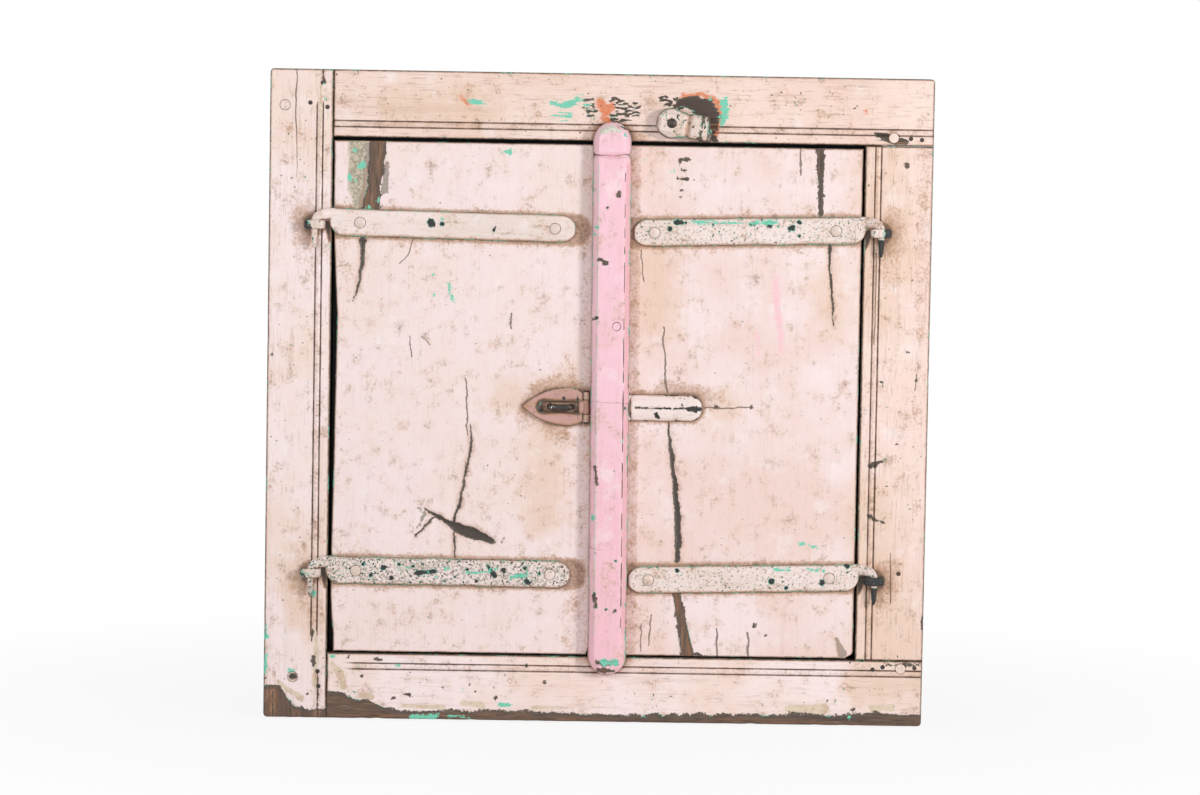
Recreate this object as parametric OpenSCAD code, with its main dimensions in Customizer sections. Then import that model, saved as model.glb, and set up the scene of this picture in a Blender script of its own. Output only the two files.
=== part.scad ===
// Shutter mirror: a pegged wooden frame round a mirror, closed by a pair of plank shutters.
// X runs to the right, Z up and -Y towards the viewer. The origin is the centre of the wall face.
// Depths called "out" are measured forwards from the frame's front face.

/* [Frame] */
// Overall width
panel_w = 661; // [560:1:760]
// Overall height
panel_h = 649; // [600:1:760]
// Thickness of the frame members, front to back
frame_d = 48; // [46:1:60]
// Width of the left stile, which runs the full height
left_stile_w = 63; // [58:1:76]
// Width of the right stile, which stands between the rails
right_stile_w = 68; // [60:1:80]
// Height of the top rail
top_rail_h = 67; // [60:1:80]
// Height of the bottom rail
bottom_rail_h = 66; // [60:1:80]
// Radius of the worn outer corners
corner_r = 4; // [1:0.5:8]

/* [Moulding] */
// Flat band between the opening and the bead
band_w = 9.5; // [7:0.5:12]
// Width of the bead
bead_w = 4.5; // [4:0.5:7]
// Width of the quirk on each side of the bead
quirk_w = 1.5; // [1:0.1:2.5]
// Depth of the quirks
quirk_d = 2; // [1.5:0.1:3.5]
// How far the bead's crown lies below the face
bead_drop = 0.4; // [0.2:0.1:1]
// Where the left stile's bead dies out above the opening
bead_run_up = 35; // [10:1:50]
// Where it stops short of the opening's foot
bead_stop = 15; // [5:1:40]

/* [Joints of the frame] */
// Thickness of the tenons
tenon_t = 14; // [10:1:18]
// Length of the tenons
tenon_l = 54; // [46:1:56]
// Shoulder left above and below a tenon
tenon_shoulder = 12; // [8:1:16]
// Distance from the front face to the tenons
tenon_set = 16; // [12:1:18]
// Radius of the wooden pegs
peg_r = 4.8; // [3:0.1:6]
// Length of the pegs
peg_l = 40; // [32:1:42]
// Radial clearance round pegs, nails and rivets
fastener_play = 0.05; // [0.02:0.01:0.1]
// Top left peg, outwards and upwards from the opening's corner
top_left_peg = [48, 31]; // [6:0.5:56]
// Bottom left peg, outwards and downwards from the opening's corner
bottom_left_peg = [34, 25]; // [6:0.5:56]
// Top right peg, outwards and upwards from the opening's corner
top_right_peg = [28, 8]; // [6:0.5:56]
// Bottom right peg, outwards and downwards from the opening's corner
bottom_right_peg = [46, 8]; // [6:0.5:56]
// Radius of the frame's nails
nail_r = 2.2; // [1.5:0.1:2.5]
// Length of the frame's nails
nail_l = 30; // [20:1:40]

/* [Leaves] */
// Thickness of the leaves
leaf_t = 22; // [16:1:24]
// How far the leaves stand out of the frame's face
leaf_out = 0.4; // [0.3:0.1:1]
// Gap between a leaf and its stile
hinge_gap = 3; // [2:0.5:5]
// Gap above the leaves
top_gap = 4; // [2:0.5:6]
// Gap below the leaves
bottom_gap = 3; // [2:0.5:6]
// Gap between the two leaves
meeting_gap = 4; // [3.6:0.1:6]
// Middle of the gap between the leaves, from the frame's centre line
meeting_x = -6.5; // [-20:0.5:20]
// Lean of the meeting edges and the cover strip, in degrees
lean = 0.35; // [0:0.05:0.6]
// Thickness of the ledges nailed across the back of each leaf
ledge_t = 14; // [10:1:15]
// Height of the ledges
ledge_h = 60; // [45:1:70]
// How far the ledges stop short of the leaf's edges
ledge_inset = 24; // [20:1:40]
// Radius of the ledge nails
ledge_nail_r = 1.5; // [1:0.1:2]
// How far the ledge nails stop short of the leaf's front
ledge_nail_stop = 6; // [3:0.5:12]

/* [Mirror] */
// Thickness of the mirror glass
glass_t = 4; // [3:0.5:5]
// Width of the rebate that holds the glass
rebate_w = 8; // [6:0.5:9]
// Thickness of the backing board
board_t = 5; // [4:0.5:8]
// How far the backing board laps the frame round the opening
board_lap = 20; // [18:1:24]
// Radius of the backing screws' shanks
screw_r = 1.7; // [1.4:0.1:2]
// Radius of the backing screws' heads
screw_head_r = 3.4; // [2.8:0.1:4]
// Length of the backing screws in the frame
screw_l = 16; // [10:1:20]
// Distance of the backing screws from the opening
screw_in = 14; // [12:1:15]

/* [Strap hinges] */
// Width of the straps
strap_w = 28.5; // [24:0.5:34]
// Thickness of the straps
strap_t = 4; // [3:0.5:5]
// Bevel round the straps' front edge
strap_bevel = 1.4; // [0.5:0.1:2]
// How far the left straps end short of the meeting edge
left_strap_stop = 16; // [3:0.5:40]
// How far the right straps end short of the cover strip
right_strap_stop = 1.65; // [1.5:0.05:40]
// Distance of the upper straps from the opening's top
upper_strap_in = 84.5; // [70:0.5:120]
// Distance of the lower straps from the opening's foot
lower_strap_in = 83.5; // [70:0.5:120]
// Droop of the left upper, left lower, right upper and right lower strap, in degrees
strap_droop = [0.8, 0.3, 1.5, 1.4]; // [0:0.1:2]
// Distance of the hinge axis from the opening's edge
axis_in = 17; // [15:0.5:20]
// Distance of the hinge axis in front of the frame
axis_out = 7; // [6:0.5:9]
// Radius of the pintles
pintle_r = 3.3; // [2.5:0.1:4]
// Radius of the pintles' blunt tips
pintle_tip_r = 2; // [1.2:0.1:2.4]
// Length of the pintles below the middle of their staples
pintle_l = 24; // [16:1:30]
// Radial clearance of a pintle or hinge pin in its eye
pin_play = 0.08; // [0.03:0.01:0.1]
// Where the first rivet stands, from the hinge axis
rivet_start = 45; // [38:1:60]
// Distance of the last rivet from the strap's round end
rivet_end = 21; // [15:1:30]
// Radius of the rivet shanks
rivet_r = 2.6; // [2:0.1:3]
// Radius of the rivet heads
rivet_head_r = 5.2; // [4:0.1:6.5]
// Height of the rivet heads
rivet_dome = 1.6; // [1:0.1:2.5]

/* [Frame staples] */
// Width of a staple's front bar
staple_w = 21; // [18:0.5:23]
// Height of a staple's iron
staple_h = 8.5; // [6:0.5:10]
// Thickness of the iron in front of the pintle
staple_wall = 3.6; // [2.5:0.1:5]
// Length of the staple legs in the wood
staple_leg = 24; // [18:1:30]
// How far the staples' middle lies below the strap's middle
staple_drop = 2.5; // [0:0.5:5]
// Gap between a strap's collar and its staple
collar_gap = 0.3; // [0.2:0.1:0.5]

/* [Cover strip] */
// Width of the cover strip
strip_w = 38.5; // [32:0.5:44]
// Thickness of the cover strip
strip_t = 18; // [14:0.5:22]
// Middle of the strip, from the frame's centre line
strip_x = 11.6; // [8:0.1:15]
// How far the strip's head laps over the top rail
strip_up = 19.5; // [12:0.5:26]
// How far the strip's foot laps over the bottom rail
strip_down = 17; // [12:0.5:26]
// Width of the strip's bevels
strip_bevel = 6; // [3:0.5:8]
// Depth of the strip's bevels
strip_bevel_d = 7; // [4:0.5:9]
// Distance from the strip's top to its carved neck
neck_down = 33; // [28:1:40]
// Depth of the carved neck in the front and sides
neck_d = 3; // [1:0.1:4]
// Distance of the outer strip nails from the strip's ends
strip_nail_in = 58; // [45:1:90]
// Height of the middle strip nail above the centre
strip_nail_z = 74; // [20:1:100]
// Distance of the strip nails from the strip's middle
strip_nail_x = 6; // [0:0.5:8]
// Radius of the strip nails
strip_nail_r = 2.4; // [1.5:0.1:3]

/* [Hasp] */
// Height of the hasp's middle, from the centre
hasp_z = -7.5; // [-40:0.5:40]
// Length of the hasp plate from its pin to its tip
hasp_l = 64; // [56:1:72]
// Distance from the pin to the plate's widest place
hasp_waist = 17; // [12:1:24]
// Width of the hasp plate
hasp_w = 39; // [34:1:46]
// Thickness of the hasp plate
hasp_t = 3; // [2:0.5:4]
// Length of the slot in the plate
slot_l = 40; // [34:1:42]
// Height of the slot in the plate
slot_h = 10.6; // [9:0.2:13]
// Distance from the pin to the middle of the slot and staple
slot_in = 25.5; // [22:0.5:28]
// Outer radius of the hasp's knuckles
knuckle_r = 3.1; // [2.6:0.1:4]
// Radius of the hasp's pin
hasp_pin_r = 1.5; // [1:0.1:1.8]
// Length of the hasp's barrel
barrel_l = 30; // [24:1:36]
// Gap between neighbouring knuckles
knuckle_gap = 0.4; // [0.2:0.1:0.6]
// Width of the hasp's fixed strap
tail_w = 27.5; // [22:0.5:32]
// Thickness of the fixed strap where it runs under the cover strip
tail_t = 3.2; // [2:0.1:4]
// Height of the fixed strap's ridge beyond the cover strip
tail_ridge = 6; // [4.5:0.5:8]
// Thickness of the fixed strap's edges
tail_edge = 0.8; // [0.5:0.1:1.5]
// Visible length of the fixed strap beyond the cover strip
tail_l = 74; // [50:1:90]
// Thickness of the hasp staple's round iron
eye_d = 6.4; // [5:0.2:7]
// Width of the hasp staple, between the middles of its legs
eye_w = 21; // [18:0.5:23]
// Clear height between the closed hasp plate and the staple's bar
eye_clear = 6; // [5:0.5:9]

/* [Turn button] */
// Pivot's distance from the frame's centre line
button_x = 68.6; // [62:0.1:120]
// Pivot's height above the opening
button_up = 19; // [17:0.5:24]
// Radius of the button's round head
button_head_r = 15.3; // [13:0.1:16]
// Length of the button from the pivot to its long corner
button_l = 42; // [38:0.5:46]
// How much shorter the other corner is
button_skew = 5; // [0:0.5:8]
// Width of the button's tail
button_w = 25.4; // [20:0.2:28]
// Thickness of the button
button_t = 16; // [12:0.5:20]
// Bevel along the button's edges
button_bevel = 3.5; // [2:0.5:5]
// Thickness left at the end of the sloping tail
button_tip_t = 8; // [5:0.5:10]
// How far the button stands clear of the frame's face
button_gap = 0.8; // [0.7:0.1:1.5]
// Turn of the button from hanging straight down, in degrees
button_turn = 82; // [80:1:100]
// Radius of the pivot's shank
pivot_r = 3; // [2:0.1:4]
// Radius of the pivot's domed head
pivot_head_r = 4.9; // [4:0.1:6]
// Length of the pivot's shank in the rail
pivot_l = 30; // [20:1:40]

/* [Hangers] */
// Distance of the hanger holes from the panel's sides
hanger_in = 22.5; // [18:0.5:26]
// Distance of the hanger holes from the panel's top
hanger_down = 109.5; // [98:0.5:120]
// Radius of the hanger holes
hanger_hole_r = 4; // [3:0.5:5]
// Width of the hanger plates
hanger_w = 16; // [14:0.5:18]
// Length of the hanger plates
hanger_l = 52; // [44:1:60]
// Thickness of the hanger plates
hanger_t = 2; // [1.5:0.5:3]
// Depth of the pocket for a screw head behind each hanger plate
hanger_pocket_d = 12; // [8:1:16]
// Room round the hanger hole in the pocket
hanger_pocket_play = 3; // [2:0.5:4]
// Radius of the hanger screws' heads
hanger_head_r = 3.4; // [2.8:0.1:4]
// Length of the hanger screws
hanger_screw_l = 18; // [12:1:24]
// Distance of the hanger screws from the plates' ends
hanger_screw_in = 8; // [6:0.5:10]

/* [Hidden] */
$fn = 48;

// Colours, as the old paint shows them
peach = "#F3D7C6";
cream = "#F5DED8";
rose = "#FBC6D8";
dusty = "#E3AFAE";
iron = "#3A3F40";
bare_wood = "#8A6A50";
silver = "#C9D3D6";

// Planes, front to back
face_y = -(board_t + frame_d);
rear_y = -board_t;
leaf_front = face_y - leaf_out;
leaf_back = leaf_front + leaf_t;
over = 1;

// The opening
open_l = -panel_w / 2 + left_stile_w;
open_r = panel_w / 2 - right_stile_w;
open_b = -panel_h / 2 + bottom_rail_h;
open_t = panel_h / 2 - top_rail_h;

// The leaves
leaf_l = open_l + hinge_gap;
leaf_r = open_r - hinge_gap;
leaf_b = open_b + bottom_gap;
leaf_top = open_t - top_gap;
left_meet = meeting_x - meeting_gap / 2;
right_meet = meeting_x + meeting_gap / 2;

// The hinges: 0 left upper, 1 left lower, 2 right upper, 3 right lower
axis_x = [open_l - axis_in, open_l - axis_in, open_r + axis_in, open_r + axis_in];
strap_z = [open_t - upper_strap_in, open_b + lower_strap_in, open_t - upper_strap_in, open_b + lower_strap_in];
strap_start = axis_in + hinge_gap - 5.5;
strap_back = -leaf_out;
eye_r = pintle_r + pin_play;
staple_out = axis_out + eye_r + staple_wall;
staple_round = 5;
collar_r = pintle_r + 0.8;

// The strip
strip_top = open_t + strip_up;
strip_foot = open_b - strip_down;
strip_r = strip_w / 2;
left_strap_l = left_meet - left_strap_stop - axis_x[0];
right_strap_l = axis_x[2] - strip_x - strip_r - right_strap_stop;
strap_l = [left_strap_l, left_strap_l, right_strap_l, right_strap_l];

// The hasp
pin_x = strip_x - strip_r - knuckle_r - 0.7;
pin_y = leaf_front - knuckle_r - 0.3;
middle_knuckle = barrel_l / 2;
eye_x = pin_x - slot_in;
eye_bar_y = pin_y - hasp_t / 2 - eye_clear - eye_d / 2;
eye_bend = 5;

// The button
button_z = open_t + button_up;
button_back = face_y - button_gap;

// The hangers
hanger_x = panel_w / 2 - hanger_in;
hanger_z = panel_h / 2 - hanger_down;

// Nail and peg places, as [x, z]
tenon_y = face_y + tenon_set;
top_joint_z = open_t + top_rail_h / 2;
bottom_joint_z = open_b - bottom_rail_h / 2;
peg_places = concat(
    beside(open_l, -1, open_t, 1, [top_left_peg]), beside(open_l, -1, open_b, -1, [bottom_left_peg]),
    beside(open_r, 1, open_t, 1, [top_right_peg]), beside(open_r, 1, open_b, -1, [bottom_right_peg])
);

// Nails, outwards and away from the opening's corners
top_left_nails = [[23, 33.5], [11, 53.5], [6, 29.5]];
bottom_left_nails = [[9, 19], [8, 34]];
top_right_nails = [[45, 7.5], [56, 6.5]];
bottom_right_nails = [[18, 9], [28, 6.5], [60, 7]];
right_stile_nail = [42, -88];
nail_places = concat(
    beside(open_l, -1, open_t, 1, top_left_nails), beside(open_l, -1, open_b, -1, bottom_left_nails),
    beside(open_r, 1, open_t, 1, top_right_nails), beside(open_r, 1, open_b, -1, bottom_right_nails),
    beside(open_r, 1, open_b, -1, [right_stile_nail])
);

// Places given as distances from a corner of the opening, as [x, z]
function beside(x, x_side, z, z_side, spots) = [for (p = spots) [x + x_side * p[0], z + z_side * p[1]]];

// Extrudes a front-view outline, drawn in X and Z, from one depth forwards to another
module slab(y_back, y_front) {
    translate([0, y_back, 0]) rotate([90, 0, 0]) linear_extrude(height = y_back - y_front) children();
}

// A rectangle in the front view
module front_box(x0, x1, z0, z1) {
    translate([x0, z0]) square([x1 - x0, z1 - z0]);
}

// A round bar or hole along Y, starting at the depth y and running backwards
module rod(x, z, y, r, l) {
    translate([x, y, z]) rotate([-90, 0, 0]) cylinder(h = l, r = r);
}

// A low domed head that rises forwards from the depth y
module dome(x, z, y, r, h) {
    ball = (r * r + h * h) / (2 * h);
    intersection() {
        translate([x, y + ball - h, z]) sphere(r = ball, $fn = 64);
        translate([x, y, z]) rotate([90, 0, 0]) cylinder(h = h + over, r = r + over);
    }
}

// ---------- Frame ----------

// The panel's rounded outline, which trims every member
module panel_blank() {
    w = panel_w / 2;
    h = panel_h / 2;
    slab(rear_y, face_y) union() {
        front_box(-w + corner_r, w - corner_r, -h, h);
        front_box(-w, w, -h + corner_r, h - corner_r);
        for (x = [-w + corner_r, w - corner_r], z = [-h + corner_r, h - corner_r])
            translate([x, z]) circle(r = corner_r);
    }
}

// The bead and its two quirks, as the section that the plane removes
module bead_section() {
    difference() {
        translate([band_w, -over]) square([bead_w + 2 * quirk_w, quirk_d + over]);
        translate([band_w + quirk_w + bead_w / 2, bead_drop + bead_w / 2]) circle(r = bead_w / 2);
        translate([band_w + quirk_w, bead_drop + bead_w / 2]) square([bead_w, bead_w]);
    }
}

module upright_bead(x, side, z0, z1) {
    translate([x, face_y, z0]) mirror([side < 0 ? 1 : 0, 0, 0]) linear_extrude(height = z1 - z0) bead_section();
}

module level_bead(z, side, x0, x1) {
    translate([side > 0 ? x1 : x0, face_y, z]) rotate([0, -90 * side, 0])
        linear_extrude(height = x1 - x0) bead_section();
}

module rebate() {
    slab(rear_y + over, rear_y - glass_t - 0.2)
        front_box(open_l - rebate_w, open_r + rebate_w, open_b - rebate_w, open_t + rebate_w);
}

module rail_tenon(z_low, z_high) {
    slab(tenon_y + tenon_t, tenon_y) front_box(open_l - tenon_l, open_l + over, z_low, z_high);
}

module rail_tenons() {
    rail_tenon(open_t + tenon_shoulder, panel_h / 2 - tenon_shoulder);
    rail_tenon(-panel_h / 2 + tenon_shoulder, open_b - tenon_shoulder);
}

module stile_tenons() {
    slab(tenon_y + tenon_t, tenon_y) {
        front_box(open_r + tenon_shoulder, panel_w / 2 - tenon_shoulder, open_t - over, open_t + tenon_l);
        front_box(open_r + tenon_shoulder, panel_w / 2 - tenon_shoulder, open_b - tenon_l, open_b + over);
    }
}

module peg_holes() {
    for (p = peg_places) rod(p[0], p[1], face_y - over, peg_r + fastener_play, peg_l + over);
    for (p = nail_places) rod(p[0], p[1], face_y - over, nail_r + fastener_play, nail_l + over);
}

// Everything that is cut out of a frame member after its outline
module member_cuts() {
    rebate();
    peg_holes();
    for (i = [0:3]) on_axis(i) staple_legs();
    rod(button_x, button_z, face_y - over, pivot_r + fastener_play, pivot_l + over);
    for (p = screw_places()) backing_screw(p, fastener_play);
    for (side = [-1, 1]) hanger_pocket(side);
}

module left_stile() {
    color(peach) difference() {
        intersection() {
            slab(rear_y, face_y) front_box(-panel_w / 2, open_l, -panel_h / 2, panel_h / 2);
            panel_blank();
        }
        rail_tenons();
        upright_bead(open_l, -1, open_b + bead_stop, open_t + bead_run_up);
        member_cuts();
    }
}

module right_stile() {
    color(peach) difference() {
        union() {
            slab(rear_y, face_y) front_box(open_r, panel_w / 2, open_b, open_t);
            stile_tenons();
        }
        upright_bead(open_r, 1, open_b - over, open_t + over);
        member_cuts();
    }
}

module top_rail() {
    color(peach) difference() {
        union() {
            intersection() {
                slab(rear_y, face_y) front_box(open_l, panel_w / 2, open_t, panel_h / 2);
                panel_blank();
            }
            rail_tenon(open_t + tenon_shoulder, panel_h / 2 - tenon_shoulder);
        }
        stile_tenons();
        level_bead(open_t, 1, open_l - over, panel_w / 2 + over);
        member_cuts();
    }
}

module bottom_rail() {
    color(peach) difference() {
        union() {
            intersection() {
                slab(rear_y, face_y) front_box(open_l, panel_w / 2, -panel_h / 2, open_b);
                panel_blank();
            }
            rail_tenon(-panel_h / 2 + tenon_shoulder, open_b - tenon_shoulder);
        }
        stile_tenons();
        level_bead(open_b, -1, open_l - over, panel_w / 2 + over);
        member_cuts();
    }
}

module frame_pegs() {
    color(cream) for (p = peg_places) rod(p[0], p[1], face_y, peg_r, peg_l);
}

module frame_nails() {
    color(iron) for (p = nail_places) rod(p[0], p[1], face_y, nail_r, nail_l);
}

// ---------- Mirror and back ----------

module mirror_glass() {
    color(silver) slab(rear_y - 0.2, rear_y - 0.2 - glass_t)
        front_box(open_l - rebate_w + 1, open_r + rebate_w - 1, open_b - rebate_w + 1, open_t + rebate_w - 1);
}

module backing_board() {
    color(bare_wood) difference() {
        slab(0, rear_y)
            front_box(open_l - board_lap, open_r + board_lap, open_b - board_lap, open_t + board_lap);
        for (p = screw_places()) backing_screw(p, fastener_play);
    }
}

// Screws round the backing board, three along each rail and two more up each stile
function screw_places() = [
    for (z = [open_b - screw_in, open_t + screw_in], t = [0.08, 0.5, 0.92]) [open_l + t * (open_r - open_l), z],
    for (x = [open_l - screw_in, open_r + screw_in], t = [0.25, 0.75]) [x, open_b + t * (open_t - open_b)]
];

// A countersunk screw driven forwards from the wall face
module backing_screw(p, play) {
    translate([p[0], 0, p[1]]) rotate([90, 0, 0]) {
        cylinder(h = screw_head_r - screw_r, r1 = screw_head_r + play, r2 = screw_r + play);
        cylinder(h = board_t + screw_l + play, r = screw_r + play);
    }
}

module backing_screws() {
    color(silver) for (p = screw_places()) backing_screw(p, 0);
}

module hanger_pocket(side) {
    rod(side * hanger_x, hanger_z, rear_y - hanger_pocket_d, hanger_hole_r + hanger_pocket_play,
        hanger_pocket_d + over);
    for (dz = hanger_screw_spread()) hanger_screw(side * hanger_x, hanger_z + dz, fastener_play);
}

function hanger_screw_spread() = [-hanger_l / 2 + hanger_screw_in, hanger_l / 2 - hanger_screw_in];

module hanger_screw(x, z, play) {
    translate([x, rear_y + hanger_t, z]) rotate([90, 0, 0]) {
        cylinder(h = hanger_head_r - screw_r, r1 = hanger_head_r + play, r2 = screw_r + play);
        cylinder(h = hanger_screw_l + play, r = screw_r + play);
    }
}

module hanger_plate(side) {
    color(silver) difference() {
        slab(rear_y + hanger_t, rear_y) union() {
            front_box(side * hanger_x - hanger_w / 2, side * hanger_x + hanger_w / 2,
                hanger_z - hanger_l / 2 + hanger_w / 2, hanger_z + hanger_l / 2 - hanger_w / 2);
            for (dz = [-1, 1])
                translate([side * hanger_x, hanger_z + dz * (hanger_l - hanger_w) / 2]) circle(r = hanger_w / 2);
        }
        rod(side * hanger_x, hanger_z, rear_y - over, hanger_hole_r, hanger_t + 2 * over);
        for (dz = hanger_screw_spread()) hanger_screw(side * hanger_x, hanger_z + dz, fastener_play);
    }
}

module hanger_screws() {
    color(silver) for (side = [-1, 1], dz = hanger_screw_spread())
        hanger_screw(side * hanger_x, hanger_z + dz, 0);
}

// ---------- Strap hinges ----------

// Places children at a hinge's axis, with X towards the leaf's middle and Y = 0 on the frame's face
module on_axis(i) {
    translate([axis_x[i], face_y, strap_z[i]]) mirror([i > 1 ? 1 : 0, 0, 0]) children();
}

// The same, turned with the strap's droop about its hinge end
module on_strap(i) {
    on_axis(i) translate([strap_start, 0, 0]) rotate([0, strap_droop[i], 0])
        translate([-strap_start, 0, 0]) children();
}

// The strap's section: bevelled at both front edges
module strap_section() {
    h = strap_w / 2;
    polygon([
        [-h, 0], [h, 0], [h, strap_t - strap_bevel], [h - strap_bevel, strap_t],
        [-h + strap_bevel, strap_t], [-h, strap_t - strap_bevel]
    ]);
}

// The flat strap from its hinge end to its round end, with the lower hinge corner worn round
module strap_flat(i) {
    h = strap_w / 2;
    end_x = strap_l[i] - h;
    worn_r = 11;
    difference() {
        translate([0, strap_back, 0]) union() {
            translate([strap_start, 0, 0]) rotate([180, 0, 0]) rotate([0, 90, 0])
                linear_extrude(height = end_x - strap_start) strap_section();
            translate([end_x, 0, 0]) rotate([90, 0, 0]) {
                cylinder(h = strap_t - strap_bevel, r = h);
                translate([0, 0, strap_t - strap_bevel])
                    cylinder(h = strap_bevel, r1 = h, r2 = h - strap_bevel);
            }
        }
        slab(over, -strap_t - over) difference() {
            translate([strap_start - over, -h - over]) square([worn_r + over, worn_r + over]);
            translate([strap_start + worn_r, -h + worn_r]) circle(r = worn_r);
        }
        for (x = rivet_xs(i)) rod(x, 0, -strap_t - over - leaf_out, rivet_r + fastener_play, strap_t + 2 * over);
    }
}

function rivet_xs(i) = [rivet_start, strap_l[i] - rivet_end];

// The gooseneck: forged from the strap's upper edge, out over the staple and down into a pintle
module gooseneck() {
    root_h = 8.5;
    root_z = strap_w / 2 - root_h - 0.6;
    bend_z = root_z + 2.6;
    head_z = 5.6;
    hull() {
        translate([strap_start - 1.5, strap_back - strap_t + 0.4, root_z]) cube([5, strap_t - 0.4, root_h]);
        translate([strap_start * 0.5, -axis_out + 1.6, bend_z]) sphere(r = 3.9, $fn = 24);
    }
    hull() {
        translate([strap_start * 0.5, -axis_out + 1.6, bend_z]) sphere(r = 3.9, $fn = 24);
        translate([0, -axis_out, head_z]) sphere(r = pintle_r + 0.3, $fn = 24);
    }
}

module pintle() {
    bar_top = -staple_drop + staple_h / 2;
    shank_low = -staple_drop - staple_h / 2 - 1;
    tip_z = -staple_drop - pintle_l + pintle_tip_r;
    translate([0, -axis_out, 0]) {
        translate([0, 0, bar_top + collar_gap]) cylinder(h = 5.6 - bar_top - collar_gap, r = collar_r);
        translate([0, 0, shank_low]) cylinder(h = 5.6 - shank_low, r = pintle_r);
        translate([0, 0, tip_z]) cylinder(h = shank_low - tip_z, r1 = pintle_tip_r, r2 = pintle_r);
        translate([0, 0, tip_z]) sphere(r = pintle_tip_r, $fn = 32);
    }
}

module strap(i) {
    color(cream) union() {
        on_strap(i) strap_flat(i);
        on_axis(i) gooseneck();
        on_axis(i) pintle();
    }
}

// A domed rivet through strap, leaf and ledge, clenched over at the back
module rivet(x) {
    back = leaf_t + ledge_t - leaf_out;
    dome(x, 0, strap_back - strap_t, rivet_head_r, rivet_dome);
    rod(x, 0, strap_back - strap_t, rivet_r, strap_t + leaf_t + ledge_t + over);
    rod(x, 0, back, rivet_r + 1.6, 1.4);
}

module rivet_holes(i) {
    on_strap(i) for (x = rivet_xs(i))
        rod(x, 0, -over - strap_t, rivet_r + fastener_play, strap_t + leaf_t + ledge_t + 3 * over);
}

module rivets(first) {
    color(cream) for (i = [first, first + 1]) on_strap(i) for (x = rivet_xs(i)) rivet(x);
}

// Two tapering legs driven into the stile
module staple_legs() {
    w = staple_w / 2;
    translate([0, 0, -staple_drop - staple_h / 2]) linear_extrude(height = staple_h) for (s = [-1, 1])
        polygon([
            [s * eye_r, -0.01], [s * w, -0.01], [s * (w - 1), staple_leg], [s * (eye_r + 2.5), staple_leg]
        ]);
}

// A forged staple: a thick bar bent round the pintle
module staple(i) {
    w = staple_w / 2;
    color(iron) on_axis(i) {
        translate([0, 0, -staple_drop - staple_h / 2]) linear_extrude(height = staple_h) difference() {
            union() {
                translate([-w, -staple_out + staple_round]) square([staple_w, staple_out - staple_round]);
                translate([-w + staple_round, -staple_out]) square([staple_w - 2 * staple_round, staple_out]);
                for (s = [-1, 1]) translate([s * (w - staple_round), -staple_out + staple_round])
                    circle(r = staple_round);
            }
            translate([0, -axis_out]) circle(r = eye_r);
            translate([-eye_r, -axis_out]) square([2 * eye_r, axis_out + over]);
        }
        staple_legs();
    }
}

// ---------- Leaves ----------

// How far a leaning line moves sideways at a height above the centre
function lean_at(z) = -z * tan(lean);

module left_leaf_board() {
    color(cream) difference() {
        slab(leaf_back, leaf_front) polygon([
            [leaf_l, leaf_b], [left_meet + lean_at(leaf_b) - 3, leaf_b],
            [left_meet + lean_at(leaf_b + 14), leaf_b + 14], [left_meet + lean_at(leaf_top), leaf_top],
            [leaf_l, leaf_top]
        ]);
        for (i = [0, 1]) rivet_holes(i);
        ledge_nail_set(-1, fastener_play);
        hasp_staple_iron(fastener_play);
    }
}

module right_leaf_board() {
    color(cream) difference() {
        slab(leaf_back, leaf_front) polygon([
            [right_meet + lean_at(leaf_b), leaf_b], [leaf_r - 8, leaf_b], [leaf_r, leaf_b + 4],
            [leaf_r, leaf_top], [right_meet + lean_at(leaf_top), leaf_top]
        ]);
        for (i = [2, 3]) rivet_holes(i);
        ledge_nail_set(1, fastener_play);
        strip_nail_set(fastener_play);
        for (x = tail_nail_xs()) tail_nail(x, fastener_play);
    }
}

function ledge_span(side) = side < 0
    ? [leaf_l + ledge_inset, left_meet - ledge_inset]
    : [right_meet + ledge_inset, leaf_r - ledge_inset];

module ledge(side, i) {
    span = ledge_span(side);
    color(bare_wood) difference() {
        slab(leaf_back + ledge_t, leaf_back)
            front_box(span[0], span[1], strap_z[i] - ledge_h / 2, strap_z[i] + ledge_h / 2);
        rivet_holes(i);
        ledge_nail_set(side, fastener_play);
    }
}

// Nails driven from the back through each ledge into its leaf
module ledge_nail_set(side, play) {
    span = ledge_span(side);
    for (z = [strap_z[0], strap_z[1]], t = [0.35, 0.65], dz = [-ledge_h / 4, ledge_h / 4])
        translate([span[0] + t * (span[1] - span[0]), leaf_back + ledge_t, z + dz]) rotate([90, 0, 0])
            cylinder(h = ledge_t + leaf_t - ledge_nail_stop + play, r = ledge_nail_r + play);
}

module ledge_nails(side) {
    color(iron) ledge_nail_set(side, 0);
}

// ---------- Cover strip ----------

// Places children in the strip's own frame: X across, Z along, the origin on the leaf's face
module on_strip() {
    translate([strip_x, leaf_front, 0]) rotate([0, -lean, 0]) children();
}

module strip_section() {
    w = strip_w / 2;
    polygon([
        [-w, 0], [w, 0], [w, -strip_t + strip_bevel_d], [w - strip_bevel, -strip_t],
        [-w + strip_bevel, -strip_t], [-w, -strip_t + strip_bevel_d]
    ]);
}

// A round end whose bevel follows the arch
module strip_end(z) {
    translate([0, 0, z]) rotate([90, 0, 0]) {
        cylinder(h = strip_t - strip_bevel_d, r = strip_r, $fn = 64);
        translate([0, 0, strip_t - strip_bevel_d])
            cylinder(h = strip_bevel_d, r1 = strip_r, r2 = strip_r - strip_bevel, $fn = 64);
    }
}

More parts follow.
